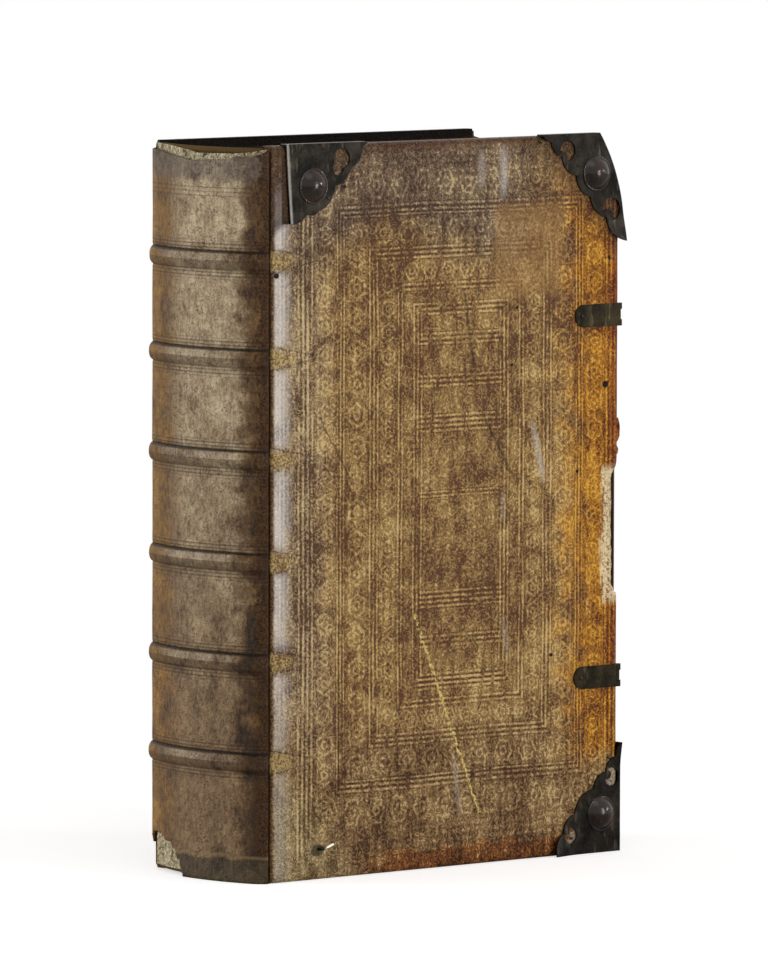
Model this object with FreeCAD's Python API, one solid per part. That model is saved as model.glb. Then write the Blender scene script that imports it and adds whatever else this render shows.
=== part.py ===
import FreeCAD, Part
import math
import os

# An antique folio bound in blind-tooled leather over wooden boards, standing on its tail.
# All sizes are millimetres. While it is built, X = 0 is the hinge plane beside the spine and
# +X runs to the fore-edge, Y = 0 is the middle of the thickness with the front cover at -Y,
# and Z = 0 is the tail edge that the book stands on. The finished pieces are moved together,
# so that the origin lies in the middle of the whole book's footprint.

V = FreeCAD.Vector

# Overall sizes of the bound book
cover_height = 380.0
cover_width = 236.5
book_thickness = 97.0

# The layers of a cover, from outside to inside
leather_thickness = 1.2
board_thickness = 6.4
turn_in_thickness = 0.8
turn_in_width = 16.0
board_edge_radius = 3.2
tail_corner_radius = 2.5

# The long bevel along the spine side of each board, and the drop of its outer ridge
bevel_width = 13.0
ridge_drop = 1.3
board_ridge_drop = 2.8

# The head corner at the fore-edge of the front board is worn round
worn_corner_run = 16.5
worn_corner_fall = 57.0
worn_corner_depth = 2.5

# The head corner at the fore-edge of the back board is broken away
break_width = 26.0
break_step = 4.0
break_fall = 30.0

# Text block
head_square = 5.0
fore_square = 6.0
fore_edge_hollow = 5.0
block_gap = 0.2
joint_gap = 0.2

# Rounded spine: a flat middle arc with a tighter shoulder at each joint
spine_shoulder_drop = 2.8
spine_bulge = 13.5
shoulder_radius = 10.0
shoulder_turn = 70.0
lining_thickness = 0.8
lining_tail = 3.0
lining_clearance = 0.2

# Raised bands over pairs of sewing cords. The first and last are set from the head and the
# tail, and the others stand evenly between them but for how far each one wanders up.
first_band_drop = 59.0
last_band_height = 62.7
band_wander = [0.0, 1.6, 1.1, 0.0, -0.2, 0.0]
band_width = 7.6
band_rise = 2.5
band_depth = 5.0
band_chamfer = 1.5
band_shoulder_radius = 11.0
band_shoulder_turn = 88.0
cord_thickness = 3.2
cord_reach = 42.0

# Cord slips laced into the boards
slip_radius = 2.3
slip_sides = 6
slip_depth = 3.7
slip_length = 20.0
mound_length = 13.0

# Endbands
endband_radius = 2.2
endband_reach = 55.0
endband_sides = 6

# Torn head and tail of the spine leather, as (place across the spine, height) points.
# Heights at the head are measured down from the top of the covers.
leather_head_tear = [(46.5, 4.0), (33.0, 4.6), (22.0, 5.8), (8.0, 7.4), (0.0, 8.4), (-12.0, 7.6),
                     (-25.0, 7.2), (-31.0, 5.4), (-40.0, 5.7), (-44.0, 3.6), (-46.5, 1.2)]
lining_head_tear = [(46.5, 1.0), (22.0, 1.6), (5.0, 3.4), (-2.0, 4.5), (-25.0, 4.2), (-38.0, 3.2),
                    (-46.5, 1.2)]
leather_tail_tear = [(47.0, 12.0), (43.0, 17.5), (36.0, 21.0), (29.0, 19.0), (18.0, 17.5), (10.0, 12.5),
                     (14.0, 8.0), (8.0, 4.0), (5.0, 0.0)]

# The strip of fore-edge leather that is worn through on the front cover
wear_top = 206.0
wear_bottom = 138.0
wear_width = 5.0

# Metal corner plates. Outlines are (in from the side edge, in from the head or tail edge).
plate_thickness = 0.9
flange_depth = 5.0
lobe_rise = 0.17
head_spine_outline = [(10.4, 39.8), (22.2, 35.5), (30.2, 34.0), (41.0, 21.2), (51.5, 12.5), (58.5, 3.0)]
head_spine_left_top = 4.7
head_spine_right_top = 62.0
head_spine_holes = [(45.5, 7.5, 5.3), (43.2, 12.3, 3.6)]
head_fore_outline = [(54.8, -0.9), (49.0, 3.0), (41.2, 10.7), (31.1, 21.2), (21.3, 32.8), (10.1, 43.7),
                     (-2.0, 56.5)]
head_fore_holes = [(37.3, 8.0, 5.2), (6.8, 39.5, 6.0)]
head_fore_tongues = [(40.5, 11.1, 3.0), (9.3, 43.0, 3.6)]
tail_fore_outline = [(45.3, 0.0), (38.8, 11.5), (30.6, 21.6), (17.6, 34.2), (9.0, 42.8), (2.4, 50.6),
                     (-0.9, 57.8)]
tail_fore_holes = [(5.1, 39.8, 4.8), (33.8, 10.5, 4.4)]
tail_fore_tongues = [(8.0, 41.0, 2.4), (36.6, 13.0, 2.2)]

# Domed bosses riveted on the plates
boss_radius = 8.4
boss_height = 4.4
boss_rim = 1.0
boss_rim_height = 0.6
boss_steps = 3
boss_places = {"head_spine": (26.6, 21.0), "head_fore": (17.3, 20.4), "tail_fore": (12.5, 20.7)}

# Hinge plates of the two lost clasps
upper_clasp_drop = 95.3
lower_clasp_height = 93.5
clasp_length = 31.5
clasp_height = 12.0
clasp_thickness = 0.9
knuckle_radius = 1.8
knuckle_length = 3.3
pin_radius = 0.8
pin_clearance = 0.1

# The bent nail left behind where the fourth corner plate was
nail_radius = 0.75
nail_sides = 6
nail_place = (31.3, 16.0)
nail_rise = 3.4
nail_reach = 7.5
nail_slope = 18.0
nail_bend = 1.6

half = book_thickness / 2.0
hinge_y = half - ridge_drop
board_outer = half - leather_thickness
board_inner = board_outer - board_thickness
cover_inner = board_inner - turn_in_thickness
block_half = cover_inner - block_gap
block_head = cover_height - head_square
spine_half = half - spine_shoulder_drop
spine_far = -spine_bulge - band_rise
lining_outer = leather_thickness + lining_clearance
lining_inner = lining_outer + lining_thickness
back_inset = lining_inner + lining_clearance
band_pitch = (cover_height - first_band_drop - last_band_height) / (len(band_wander) - 1)
band_heights = [cover_height - first_band_drop - band_pitch * k + wander
                for k, wander in enumerate(band_wander)]
clasp_heights = {"upper": cover_height - upper_clasp_drop, "lower": lower_clasp_height}
boss_top = half + plate_thickness + boss_rim_height + boss_height

fore_overhang = max(-head_fore_outline[-1][0], knuckle_radius)

# Middle of the book's footprint, which becomes the origin
centre_x = (cover_width + fore_overhang + spine_far) / 2.0
centre_y = (half - boss_top) / 2.0


def prism(edges, direction):
    return Part.Face(Part.Wire(edges)).extrude(direction)


def polygon(points):
    return Part.makePolygon(points + [points[0]]).Edges


def three_point_arc(first, middle, last):
    return Part.Arc(first, middle, last).toShape()


def line(first, last):
    return Part.LineSegment(first, last).toShape()


# The curve of the spine

def spine_arcs(bulge, radius, turn, inset):
    """Front shoulder, middle and back shoulder, each as centre, radius and two angles from -X."""
    end = math.radians(turn)
    centre_in = radius * math.cos(end)
    centre_out = spine_half - radius * math.sin(end)
    across = centre_in + bulge
    middle_radius = (across ** 2 + centre_out ** 2 - radius ** 2) / (2.0 * (across - radius))
    join = math.degrees(math.atan2(centre_out, middle_radius - across))
    middle = V(middle_radius - bulge, 0, 0)
    return [(V(centre_in, -centre_out, 0), radius - inset, -turn, -join),
            (middle, middle_radius - inset, -join, join),
            (V(centre_in, centre_out, 0), radius - inset, join, turn)]


def on_arc(centre, radius, angle):
    a = math.radians(angle)
    return centre + V(-radius * math.cos(a), radius * math.sin(a), 0)


def spine_solid(inset, bottom, top):
    """The D-shaped column inside the spine curve, back to the hinge plane."""
    arcs = spine_arcs(spine_bulge, shoulder_radius, shoulder_turn, inset)
    edges = [three_point_arc(on_arc(c, r, a), on_arc(c, r, (a + b) / 2.0), on_arc(c, r, b))
             for c, r, a, b in arcs]
    first = on_arc(arcs[0][0], arcs[0][1], arcs[0][2])
    last = on_arc(arcs[2][0], arcs[2][1], arcs[2][3])
    edges.append(line(last, first))
    solid = prism(edges, V(0, 0, top - bottom))
    solid.translate(V(0, 0, bottom))
    return solid.common(left_of_joint())


def left_of_joint():
    reach = spine_bulge + band_rise + 10.0
    box = Part.makeBox(reach, book_thickness * 2, cover_height * 1.2)
    box.translate(V(-reach - joint_gap, -book_thickness, -cover_height * 0.1))
    return box


def swept(face, centre, first, last):
    """Turn a face that stands at angle 0 about an upright axis, from one angle to another."""
    start = face.copy()
    start.rotate(centre, V(0, 0, 1), -first)
    return start.revolve(centre, V(0, 0, 1), -(last - first))


def band_section(radius, centre, height, inset, depth):
    """Strip with bevelled corners whose outer side lies at the given radius."""
    half_width = band_width / 2.0 - inset
    chamfer = band_chamfer - inset / 2.0
    outer = centre.x - radius
    inner = outer + depth
    y = centre.y
    low = height - half_width
    high = height + half_width
    return Part.Face(Part.Wire(polygon([
        V(inner, y, low), V(outer + chamfer, y, low), V(outer, y, low + chamfer),
        V(outer, y, high - chamfer), V(outer + chamfer, y, high), V(inner, y, high)])))


def band_ring(height, inset=0.0, depth=band_depth, limit=90.0):
    """A raised strip across the spine that sinks into it towards the joints."""
    arcs = spine_arcs(spine_bulge + band_rise, band_shoulder_radius, band_shoulder_turn, inset)
    rings = []
    for centre, path, first, last in arcs:
        face = band_section(path, centre, height, inset, depth)
        rings.append(swept(face, centre, max(first, -limit), min(last, limit)))
    return rings[0].fuse(rings[1:]).removeSplitter().common(left_of_joint())


def sewing_cord(height):
    """A pair of cords side by side, worked flat by the sewing that packs them."""
    return band_ring(height, leather_thickness, cord_thickness, cord_reach)


def many_sided(sides, radius, middle, first, second):
    """A regular outline in the plane of two directions."""
    turns = [2.0 * math.pi * (side + 0.5) / sides for side in range(sides)]
    return polygon([middle + first * (radius * math.cos(t)) + second * (radius * math.sin(t))
                    for t in turns])


def endband(height):
    """A wrapped core laid along the spine curve on the end of the leaves."""
    inset = back_inset + endband_radius
    arcs = spine_arcs(spine_bulge, shoulder_radius, shoulder_turn, inset)
    parts = []
    for centre, path, first, last in arcs:
        middle = V(centre.x - path, centre.y, height)
        outline = many_sided(endband_sides, endband_radius, middle, V(0, 0, 1), V(1, 0, 0))
        first = max(first, -endband_reach)
        last = min(last, endband_reach)
        parts.append(swept(Part.Face(Part.Wire(outline)), centre, first, last))
    return parts[0].fuse(parts[1:]).removeSplitter().common(left_of_joint())


def torn_above(points):
    """Everything above a torn edge that runs across the spine."""
    start = spine_far - 1.0
    above = cover_height + spine_bulge
    edge = [V(start, y, cover_height - drop) for y, drop in points]
    edge += [V(start, points[-1][0], above), V(start, points[0][0], above)]
    return prism(polygon(edge), V(-start, 0, 0))


def torn_tail():
    start = spine_far - 1.0
    edge = [V(start, y, z) for y, z in leather_tail_tear]
    edge += [V(start, leather_tail_tear[-1][0], start), V(start, leather_tail_tear[0][0], start)]
    return prism(polygon(edge), V(-start, 0, 0))


# The pieces of the fixed body

def text_block():
    """All the leaves as one block: rounded back with shoulders, hollow fore-edge."""
    back = spine_solid(back_inset, head_square, block_head)
    fore = cover_width - fore_square
    start = -joint_gap
    corners = [V(start, -block_half, head_square), V(fore, -block_half, head_square),
               V(fore, block_half, head_square), V(start, block_half, head_square)]
    hollow = V(fore - fore_edge_hollow, 0, head_square)
    edges = [line(corners[0], corners[1]), three_point_arc(corners[1], hollow, corners[2]),
             line(corners[2], corners[3]), line(corners[3], corners[0])]
    leaves = prism(edges, V(0, 0, block_head - head_square))
    return leaves.fuse(back).removeSplitter()


def spine_linings():
    """Panels of stiff lining glued to the back between the cords, from head to tail."""
    shell = spine_solid(lining_outer, lining_tail, cover_height)
    shell = shell.cut(spine_solid(lining_inner, lining_tail - 1, cover_height + 1))
    shell = shell.cut(torn_above(lining_head_tear))
    gap = band_width - 2.0 * leather_thickness
    for height in band_heights:
        box = Part.makeBox(book_thickness, book_thickness * 2, gap)
        box.translate(V(-book_thickness, -book_thickness, height - gap / 2.0))
        shell = shell.cut(box)
    return sorted(shell.Solids, key=lambda panel: -panel.CenterOfMass.z)


def spine_leather():
    """Leather over the back, raised over each pair of cords and torn at head and tail."""
    outside = spine_solid(0.0, 0.0, cover_height)
    for height in band_heights:
        outside = outside.fuse(band_ring(height))
    leather = outside.cut(spine_solid(leather_thickness, -1.0, cover_height + 1.0))
    for height in band_heights:
        leather = leather.cut(sewing_cord(height))
    return leather.cut(torn_above(leather_head_tear)).cut(torn_tail())


# The pieces of a cover, made as the front one

def cover_slab(inset, outer, inner, ridge, edge_radius, worn):
    """A board or its leather, as the common part of three upright and level profiles."""
    fore = cover_width - inset
    top = cover_height - inset
    cut = edge_radius * (1.0 - math.sqrt(0.5))
    ridge_middle = V(bevel_width * 0.35, -(ridge + (outer - ridge) * 0.62), 0)
    plan = [three_point_arc(V(0, -ridge, 0), ridge_middle, V(bevel_width, -outer, 0)),
            line(V(bevel_width, -outer, 0), V(fore - edge_radius, -outer, 0)),
            three_point_arc(V(fore - edge_radius, -outer, 0), V(fore - cut, cut - outer, 0),
                            V(fore, edge_radius - outer, 0)),
            line(V(fore, edge_radius - outer, 0), V(fore, -inner, 0)),
            line(V(fore, -inner, 0), V(0, -inner, 0)),
            line(V(0, -inner, 0), V(0, -ridge, 0))]
    from_above = prism(plan, V(0, 0, cover_height))
    side = [line(V(-1, -inner, inset), V(-1, edge_radius - outer, inset)),
            three_point_arc(V(-1, edge_radius - outer, inset), V(-1, cut - outer, inset + cut),
                            V(-1, -outer, inset + edge_radius)),
            line(V(-1, -outer, inset + edge_radius), V(-1, -outer, top - edge_radius)),
            three_point_arc(V(-1, -outer, top - edge_radius), V(-1, cut - outer, top - cut),
                            V(-1, edge_radius - outer, top)),
            line(V(-1, edge_radius - outer, top), V(-1, -inner, top)),
            line(V(-1, -inner, top), V(-1, -inner, inset))]
    from_side = prism(side, V(cover_width + 2, 0, 0))
    return from_above.common(from_side).common(cover_outline(fore, inset, top, worn))


def cover_outline(fore, bottom, top, worn):
    r = tail_corner_radius
    cut = r * (1.0 - math.sqrt(0.5))
    y = -book_thickness
    if worn:
        run, fall, depth = worn_corner_run, worn_corner_fall, worn_corner_depth
    else:
        run, fall, depth = r, r, cut
    edges = [line(V(-1, y, bottom), V(fore - r, y, bottom)),
             three_point_arc(V(fore - r, y, bottom), V(fore - cut, y, bottom + cut), V(fore, y, bottom + r)),
             line(V(fore, y, bottom + r), V(fore, y, top - fall)),
             three_point_arc(V(fore, y, top - fall), V(fore - depth, y, top - fall / 2.0 if worn else top - cut),
                             V(fore - run, y, top)),
             line(V(fore - run, y, top), V(-1, y, top)),
             line(V(-1, y, top), V(-1, y, bottom))]
    return prism(edges, V(0, book_thickness, 0))


def slip_rod(height, radius, length):
    """A cord's slip, lying along the board's face from the joint."""
    middle = V(0, slip_depth - half, height)
    return prism(many_sided(slip_sides, radius, middle, V(0, 1, 0), V(0, 0, 1)), V(length, 0, 0))


def broken_corner():
    """The part of the back board's head corner that is gone."""
    start = cover_width - break_width
    y = -book_thickness
    edge = [V(start, y, cover_height + 5), V(start + 0.6, y, cover_height - break_step),
            V(start + 6.5, y, cover_height - break_step - 1.6),
            V(start + 15.0, y, cover_height - break_fall * 0.55),
            V(cover_width + 5, y, cover_height - break_fall), V(cover_width + 5, y, cover_height + 5)]
    return prism(polygon(edge), V(0, book_thickness * 2, 0))


def window(depth_from, depth_to):
    """The space on the inside of a cover that the leather's turned-in edges leave open."""
    edge = leather_thickness + turn_in_width
    box = Part.makeBox(cover_width - edge, depth_to - depth_from, cover_height - 2 * edge)
    box.translate(V(0, -depth_to, edge))
    return box


def cover_board(worn):
    board = cover_slab(leather_thickness, board_outer, board_inner, half - board_ridge_drop,
                       board_edge_radius - leather_thickness, worn)
    for height in band_heights:
        board = board.cut(slip_rod(height, slip_radius, slip_length))
    return board


def cover_leather(worn):
    leather = cover_slab(0.0, half, cover_inner, hinge_y, board_edge_radius, worn)
    for height in band_heights:
        leather = leather.fuse(slip_rod(height, slip_radius + leather_thickness, mound_length))
    solid_board = cover_slab(leather_thickness, board_outer, board_inner, half - board_ridge_drop,
                             board_edge_radius - leather_thickness, worn)
    leather = leather.cut(solid_board)
    for height in band_heights:
        leather = leather.cut(slip_rod(height, slip_radius, slip_length))
    return leather.cut(window(cover_inner - 1.0, board_inner))


def pastedown():
    return window(cover_inner, board_inner)


def worn_strip():
    """The fore-edge strip where the leather has gone from the front board."""
    start = cover_width - wear_width
    y = -book_thickness
    middle = (wear_top + wear_bottom) / 2.0
    edge = [V(start + 2.6, y, wear_top), V(start + 0.6, y, wear_top - 9), V(start, y, middle),
            V(start + 0.8, y, wear_bottom + 14), V(start + 2.8, y, wear_bottom),
            V(cover_width + 5, y, wear_bottom - 2), V(cover_width + 5, y, wear_top + 1)]
    return prism(polygon(edge), V(0, book_thickness - board_inner + 1.0, 0))


# Metalwork of the front cover

def at_corner(corner, u, v):
    """A point on the cover's face from its distances to the corner's side edge and end edge."""
    x = u if corner == "head_spine" else cover_width - u
    z = v if corner == "tail_fore" else cover_height - v
    return V(x, -half, z)


def lobes(corner, points):
    """Arcs that swell away from the corner, between the cusps of a scalloped edge."""
    middle = V(cover_width / 2.0, -half, cover_height / 2.0)
    away = middle - at_corner(corner, 0, 0)
    edges = []
    for first, last in zip(points, points[1:]):
        chord = last - first
        across = V(chord.z, 0, -chord.x)
        if across.dot(away) < 0:
            across = across * -1.0
        edges.append(three_point_arc(first, (first + last) * 0.5 + across * lobe_rise, last))
    return edges


def pierced(corner, holes, tongues):
    """The cut-outs: round lobes, each with a tongue of metal curling into it."""
    cutters = []
    for index, (u, v, radius) in enumerate(holes):
        hole = Part.makeCylinder(radius, 4.0, at_corner(corner, u, v) + V(0, 2, 0), V(0, -1, 0))
        if index < len(tongues):
            tu, tv, tr = tongues[index]
            hole = hole.cut(Part.makeCylinder(tr, 4.0, at_corner(corner, tu, tv) + V(0, 2, 0), V(0, -1, 0)))
        cutters.append(hole)
    return cutters[0].fuse(cutters[1:])


def head_flange(first_x, last_x):
    """The strip of a plate that folds back over the head edge."""
    box = Part.makeBox(last_x - first_x, flange_depth, plate_thickness)
    box.translate(V(first_x, -half - plate_thickness, cover_height))
    return box


def head_spine_plate():
    corner = "head_spine"
    points = [at_corner(corner, u, v) for u, v in head_spine_outline]
    left = at_corner(corner, head_spine_left_top, -plate_thickness)
    right = at_corner(corner, head_spine_right_top, -plate_thickness)
    edges = lobes(corner, points) + [line(points[-1], right), line(right, left), line(left, points[0])]
    sheet = prism(edges, V(0, -plate_thickness, 0))
    sheet = sheet.cut(pierced(corner, head_spine_holes, []))
    return sheet.fuse(head_flange(left.x, right.x)).removeSplitter()


def head_fore_plate():
    corner = "head_fore"
    points = [at_corner(corner, u, v) for u, v in head_fore_outline]
    top = at_corner(corner, worn_corner_run - 1.5, -plate_thickness)
    middle = at_corner(corner, worn_corner_depth - 1.3, worn_corner_fall / 2.0)
    edges = lobes(corner, points) + [three_point_arc(points[-1], middle, top), line(top, points[0])]
    sheet = prism(edges, V(0, -plate_thickness, 0))
    sheet = sheet.cut(pierced(corner, head_fore_holes, head_fore_tongues))
    return sheet.fuse(head_flange(points[0].x, top.x)).removeSplitter()


def tail_fore_plate():
    corner = "tail_fore"
    points = [at_corner(corner, u, v) for u, v in tail_fore_outline]
    low = at_corner(corner, -plate_thickness, 0.0)
    edges = lobes(corner, points) + [line(points[-1], low), line(low, points[0])]
    sheet = prism(edges, V(0, -plate_thickness, 0))
    sheet = sheet.cut(pierced(corner, tail_fore_holes, tail_fore_tongues))
    flange = Part.makeBox(plate_thickness, flange_depth, tail_fore_outline[-1][1])
    flange.translate(V(cover_width, -half - plate_thickness, 0))
    return sheet.fuse(flange).removeSplitter()


def boss(corner):
    """A low dome on a thin rim, turned from one profile."""
    u, v = boss_places[corner]
    seat = at_corner(corner, u, v) + V(0, -plate_thickness, 0)
    ball_radius = (boss_radius ** 2 + boss_height ** 2) / (2.0 * boss_height)
    widest = math.asin(boss_radius / ball_radius)
    profile = [seat, seat + V(boss_radius + boss_rim, 0, 0),
               seat + V(boss_radius + boss_rim, -boss_rim_height, 0)]
    for step in range(boss_steps + 1):
        angle = widest * (1.0 - step / boss_steps)
        rise = boss_rim_height + boss_height - ball_radius * (1.0 - math.cos(angle))
        profile.append(seat + V(ball_radius * math.sin(angle), -rise, 0))
    return Part.Face(Part.Wire(polygon(profile))).revolve(seat, V(0, 1, 0), 360)


def clasp_plate(height):
    """A strap with a round end and two barrels that held the clasp's pin."""
    low = height - clasp_height / 2.0
    high = height + clasp_height / 2.0
    end = cover_width - clasp_length
    r = clasp_height / 2.0
    y = -half
    edges = [line(V(cover_width, y, low), V(end + r, y, low)),
             three_point_arc(V(end + r, y, low), V(end, y, height), V(end + r, y, high)),
             line(V(end + r, y, high), V(cover_width, y, high)),
             line(V(cover_width, y, high), V(cover_width, y, low))]
    strap = prism(edges, V(0, -clasp_thickness, 0))
    axis_y = -half + knuckle_radius - clasp_thickness
    for start in (low, high - knuckle_length):
        barrel = Part.makeCylinder(knuckle_radius, knuckle_length, V(cover_width, axis_y, start), V(0, 0, 1))
        strap = strap.fuse(barrel)
    bore = Part.makeCylinder(pin_radius + pin_clearance, clasp_height + 2, V(cover_width, axis_y, low - 1),
                             V(0, 0, 1))
    return strap.cut(bore).removeSplitter()


def clasp_pin(height):
    axis_y = -half + knuckle_radius - clasp_thickness
    return Part.makeCylinder(pin_radius, clasp_height, V(cover_width, axis_y, height - clasp_height / 2.0),
                             V(0, 0, 1))


def knuckle_room(height):
    """The leather and board are notched round the barrels."""
    axis_y = -half + knuckle_radius - clasp_thickness
    return Part.makeCylinder(knuckle_radius + pin_clearance, clasp_height,
                             V(cover_width, axis_y, height - clasp_height / 2.0), V(0, 0, 1))


def bent_nail():
    """A square stub of a corner nail, bent over against the leather."""
    x, z = nail_place
    a = math.radians(nail_slope)
    along = V(math.cos(a), 0, math.sin(a))
    foot = V(x, -half, z)
    turn = foot + V(0, -(nail_rise - nail_bend), 0)
    corner = foot + V(0, -nail_rise, 0)
    after = corner + along * nail_bend
    middle = corner + (along + V(0, 1, 0)) * (nail_bend * (1.0 - math.sqrt(0.5)))
    tip = corner + along * nail_reach
    path = Part.Wire([line(foot, turn), three_point_arc(turn, middle, after), line(after, tip)])
    outline = Part.Wire(many_sided(nail_sides, nail_radius, foot, V(1, 0, 0), V(0, 0, 1)))
    return path.makePipeShell([outline], True, True)


def main():
    os.makedirs("parts", exist_ok=True)
    pieces = {}
    pieces["text_block"] = text_block()
    for number, panel in enumerate(spine_linings(), 1):
        pieces["spine_lining_%d" % number] = panel
    pieces["spine_leather"] = spine_leather()
    for number, height in enumerate(band_heights, 1):
        pieces["sewing_cord_%d" % number] = sewing_cord(height)
    endband_half = endband_radius * math.cos(math.pi / endband_sides)
    pieces["head_endband"] = endband(block_head + endband_half)
    pieces["tail_endband"] = endband(head_square - endband_half)

    front_board = cover_board(True)
    front_leather = cover_leather(True).cut(worn_strip())
    for height in clasp_heights.values():
        front_board = front_board.cut(knuckle_room(height))
        front_leather = front_leather.cut(knuckle_room(height))
    pieces["front_board"] = front_board
    pieces["front_leather"] = front_leather
    pieces["front_pastedown"] = pastedown()
    for number, height in enumerate(band_heights, 1):
        pieces["front_cord_slip_%d" % number] = slip_rod(height, slip_radius, slip_length)
    pieces["head_spine_corner_plate"] = head_spine_plate()
    pieces["head_fore_corner_plate"] = head_fore_plate()
    pieces["tail_fore_corner_plate"] = tail_fore_plate()
    for corner in boss_places:
        pieces[corner + "_boss"] = boss(corner)
    for name, height in clasp_heights.items():
        pieces[name + "_clasp_plate"] = clasp_plate(height)
        pieces[name + "_clasp_pin"] = clasp_pin(height)
    pieces["bent_nail"] = bent_nail()

    across = V(0, 1, 0)
    back_board = cover_board(False).cut(broken_corner())
    back_leather = cover_leather(False).cut(broken_corner())
    pieces["back_board"] = back_board.mirror(V(0, 0, 0), across)
    pieces["back_leather"] = back_leather.mirror(V(0, 0, 0), across)
    pieces["back_pastedown"] = pastedown().cut(broken_corner()).mirror(V(0, 0, 0), across)
    for number, height in enumerate(band_heights, 1):
        slip = slip_rod(height, slip_radius, slip_length)
        pieces["back_cord_slip_%d" % number] = slip.mirror(V(0, 0, 0), across)

    for name, shape in pieces.items():
        shape.translate(V(-centre_x, -centre_y, 0))
        box = shape.BoundBox
        print("%-26s solids %d valid %s x %.1f..%.1f y %.1f..%.1f z %.1f..%.1f volume %.0f" % (
            name, len(shape.Solids), shape.isValid(), box.XMin, box.XMax, box.YMin, box.YMax,
            box.ZMin, box.ZMax, shape.Volume))
        shape.exportStep("parts/%s.step" % name)


main()
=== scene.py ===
# %% [markdown]
# # An old folio in tooled leather
# The book stands on its tail edge, seen from its front corner, so both the spine and the front
# cover show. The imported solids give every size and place. Here they get their looks: leather that
# is worn, torn and tooled, metal corners gone dark, and paper browned at its edges.

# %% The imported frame
import math

import bmesh
import bpy
from mathutils import Matrix, Vector, noise


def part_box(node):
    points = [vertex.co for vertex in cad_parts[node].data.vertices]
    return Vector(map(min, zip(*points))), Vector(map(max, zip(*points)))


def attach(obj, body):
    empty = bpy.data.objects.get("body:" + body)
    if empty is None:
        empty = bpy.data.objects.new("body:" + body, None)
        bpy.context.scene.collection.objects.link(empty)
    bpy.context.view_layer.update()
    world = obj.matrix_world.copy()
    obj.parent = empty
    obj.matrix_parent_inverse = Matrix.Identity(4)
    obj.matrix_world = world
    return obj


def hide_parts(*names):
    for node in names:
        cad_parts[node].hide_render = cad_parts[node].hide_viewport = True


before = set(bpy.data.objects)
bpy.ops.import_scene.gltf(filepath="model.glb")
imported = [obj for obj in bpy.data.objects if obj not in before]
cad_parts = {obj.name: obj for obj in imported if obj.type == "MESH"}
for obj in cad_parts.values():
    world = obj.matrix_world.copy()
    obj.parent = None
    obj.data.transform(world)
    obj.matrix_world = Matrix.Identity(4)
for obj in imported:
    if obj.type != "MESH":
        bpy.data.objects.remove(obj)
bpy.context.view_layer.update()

# %% [markdown]
# A binder measures a book from its joint, so the meshes here are drawn the same way, in
# millimetres: X from the joint to the fore-edge, Y from the middle of the thickness with the
# front cover at minus Y, and Z up from the tail. One matrix turns such a place into metres in
# the frame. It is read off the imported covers, so nothing has to be fitted by eye.

# %% Places on the book in millimetres
front_low, front_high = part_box("front_leather")
board_low, board_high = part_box("front_board")
back_low, back_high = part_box("back_board")
origin = Vector((front_low.x, (board_low.y + back_high.y) / 2.0, 0.0))
BOOK = Matrix.Translation(origin) @ Matrix.Scale(0.001, 4)


def node_middle(name):
    """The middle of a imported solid, in the book's millimetres."""
    low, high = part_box(name)
    return ((low + high) / 2.0 - origin) * 1000.0


height = 380.0
width = 236.5
half = 48.5
ridge_x = 1.5
leather = 1.2
bands = [node_middle("sewing_cord_%d" % k).z for k in range(1, 7)]
clasps = [node_middle(name).z for name in ("upper_clasp_plate", "lower_clasp_plate")]
print("The joint lies at", [round(v, 5) for v in origin], "and the bands at", [round(b, 1) for b in bands])

# %% [markdown]
# The photograph was taken with a long lens from the front left corner, a little above the middle.
# A long lens keeps the upright edges nearly parallel. The camera looks at a point inside the book,
# a little aside and above its middle, and its slight roll is a turn about its own line of sight.

# %% The camera
lens_mm = 369.77
distance_mm = 5252.96
turn = math.radians(-39.8025)
tilt = math.radians(4.7343)
roll = math.radians(0.1317)
aside_mm, above_mm = -4.74, 5.632
middle_mm = Vector((120.0, 0.0, 190.0))

right = Vector((math.cos(turn), math.sin(turn), 0.0))
back = Vector((math.sin(turn) * math.cos(tilt), -math.cos(turn) * math.cos(tilt), math.sin(tilt)))
target = middle_mm + Vector((ridge_x, 0.0, above_mm)) + right * aside_mm

camera_data = bpy.data.cameras.new("camera")
camera_data.lens = lens_mm
camera_data.sensor_width = 36.0
camera_data.clip_end = 50.0
camera = bpy.data.objects.new("camera", camera_data)
bpy.context.scene.collection.objects.link(camera)
upright = back.to_track_quat("Z", "Y").to_matrix().to_4x4()
camera.matrix_world = (Matrix.Translation(BOOK @ (target + back * distance_mm))
                       @ upright @ Matrix.Rotation(roll, 4, "Z"))
bpy.context.scene.camera = camera
print("The camera stands", round(distance_mm / 1000, 2), "m away with a", lens_mm, "mm lens")

# %% [markdown]
# Shader sums read best as sums. A small class wraps a node's output, and adding or multiplying
# two of them places the Math node that does it. Every other kind of node comes from one function,
# which sets the node's choices first and then fills its sockets with numbers or links.

# %% Sums in a material
MATH = "ShaderNodeMath"


def add_node(tree, kind, settings, values, output=0):
    """Place a node, set its choices, fill its sockets and give back one of its outputs."""
    made = tree.nodes.new(kind)
    for key, value in settings.items():
        setattr(made, key, value)
    for key, value in values.items():
        if isinstance(value, Signal):
            tree.links.new(value.socket, made.inputs[key])
        else:
            made.inputs[key].default_value = value
    return Signal(tree, made.outputs[output])


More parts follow.
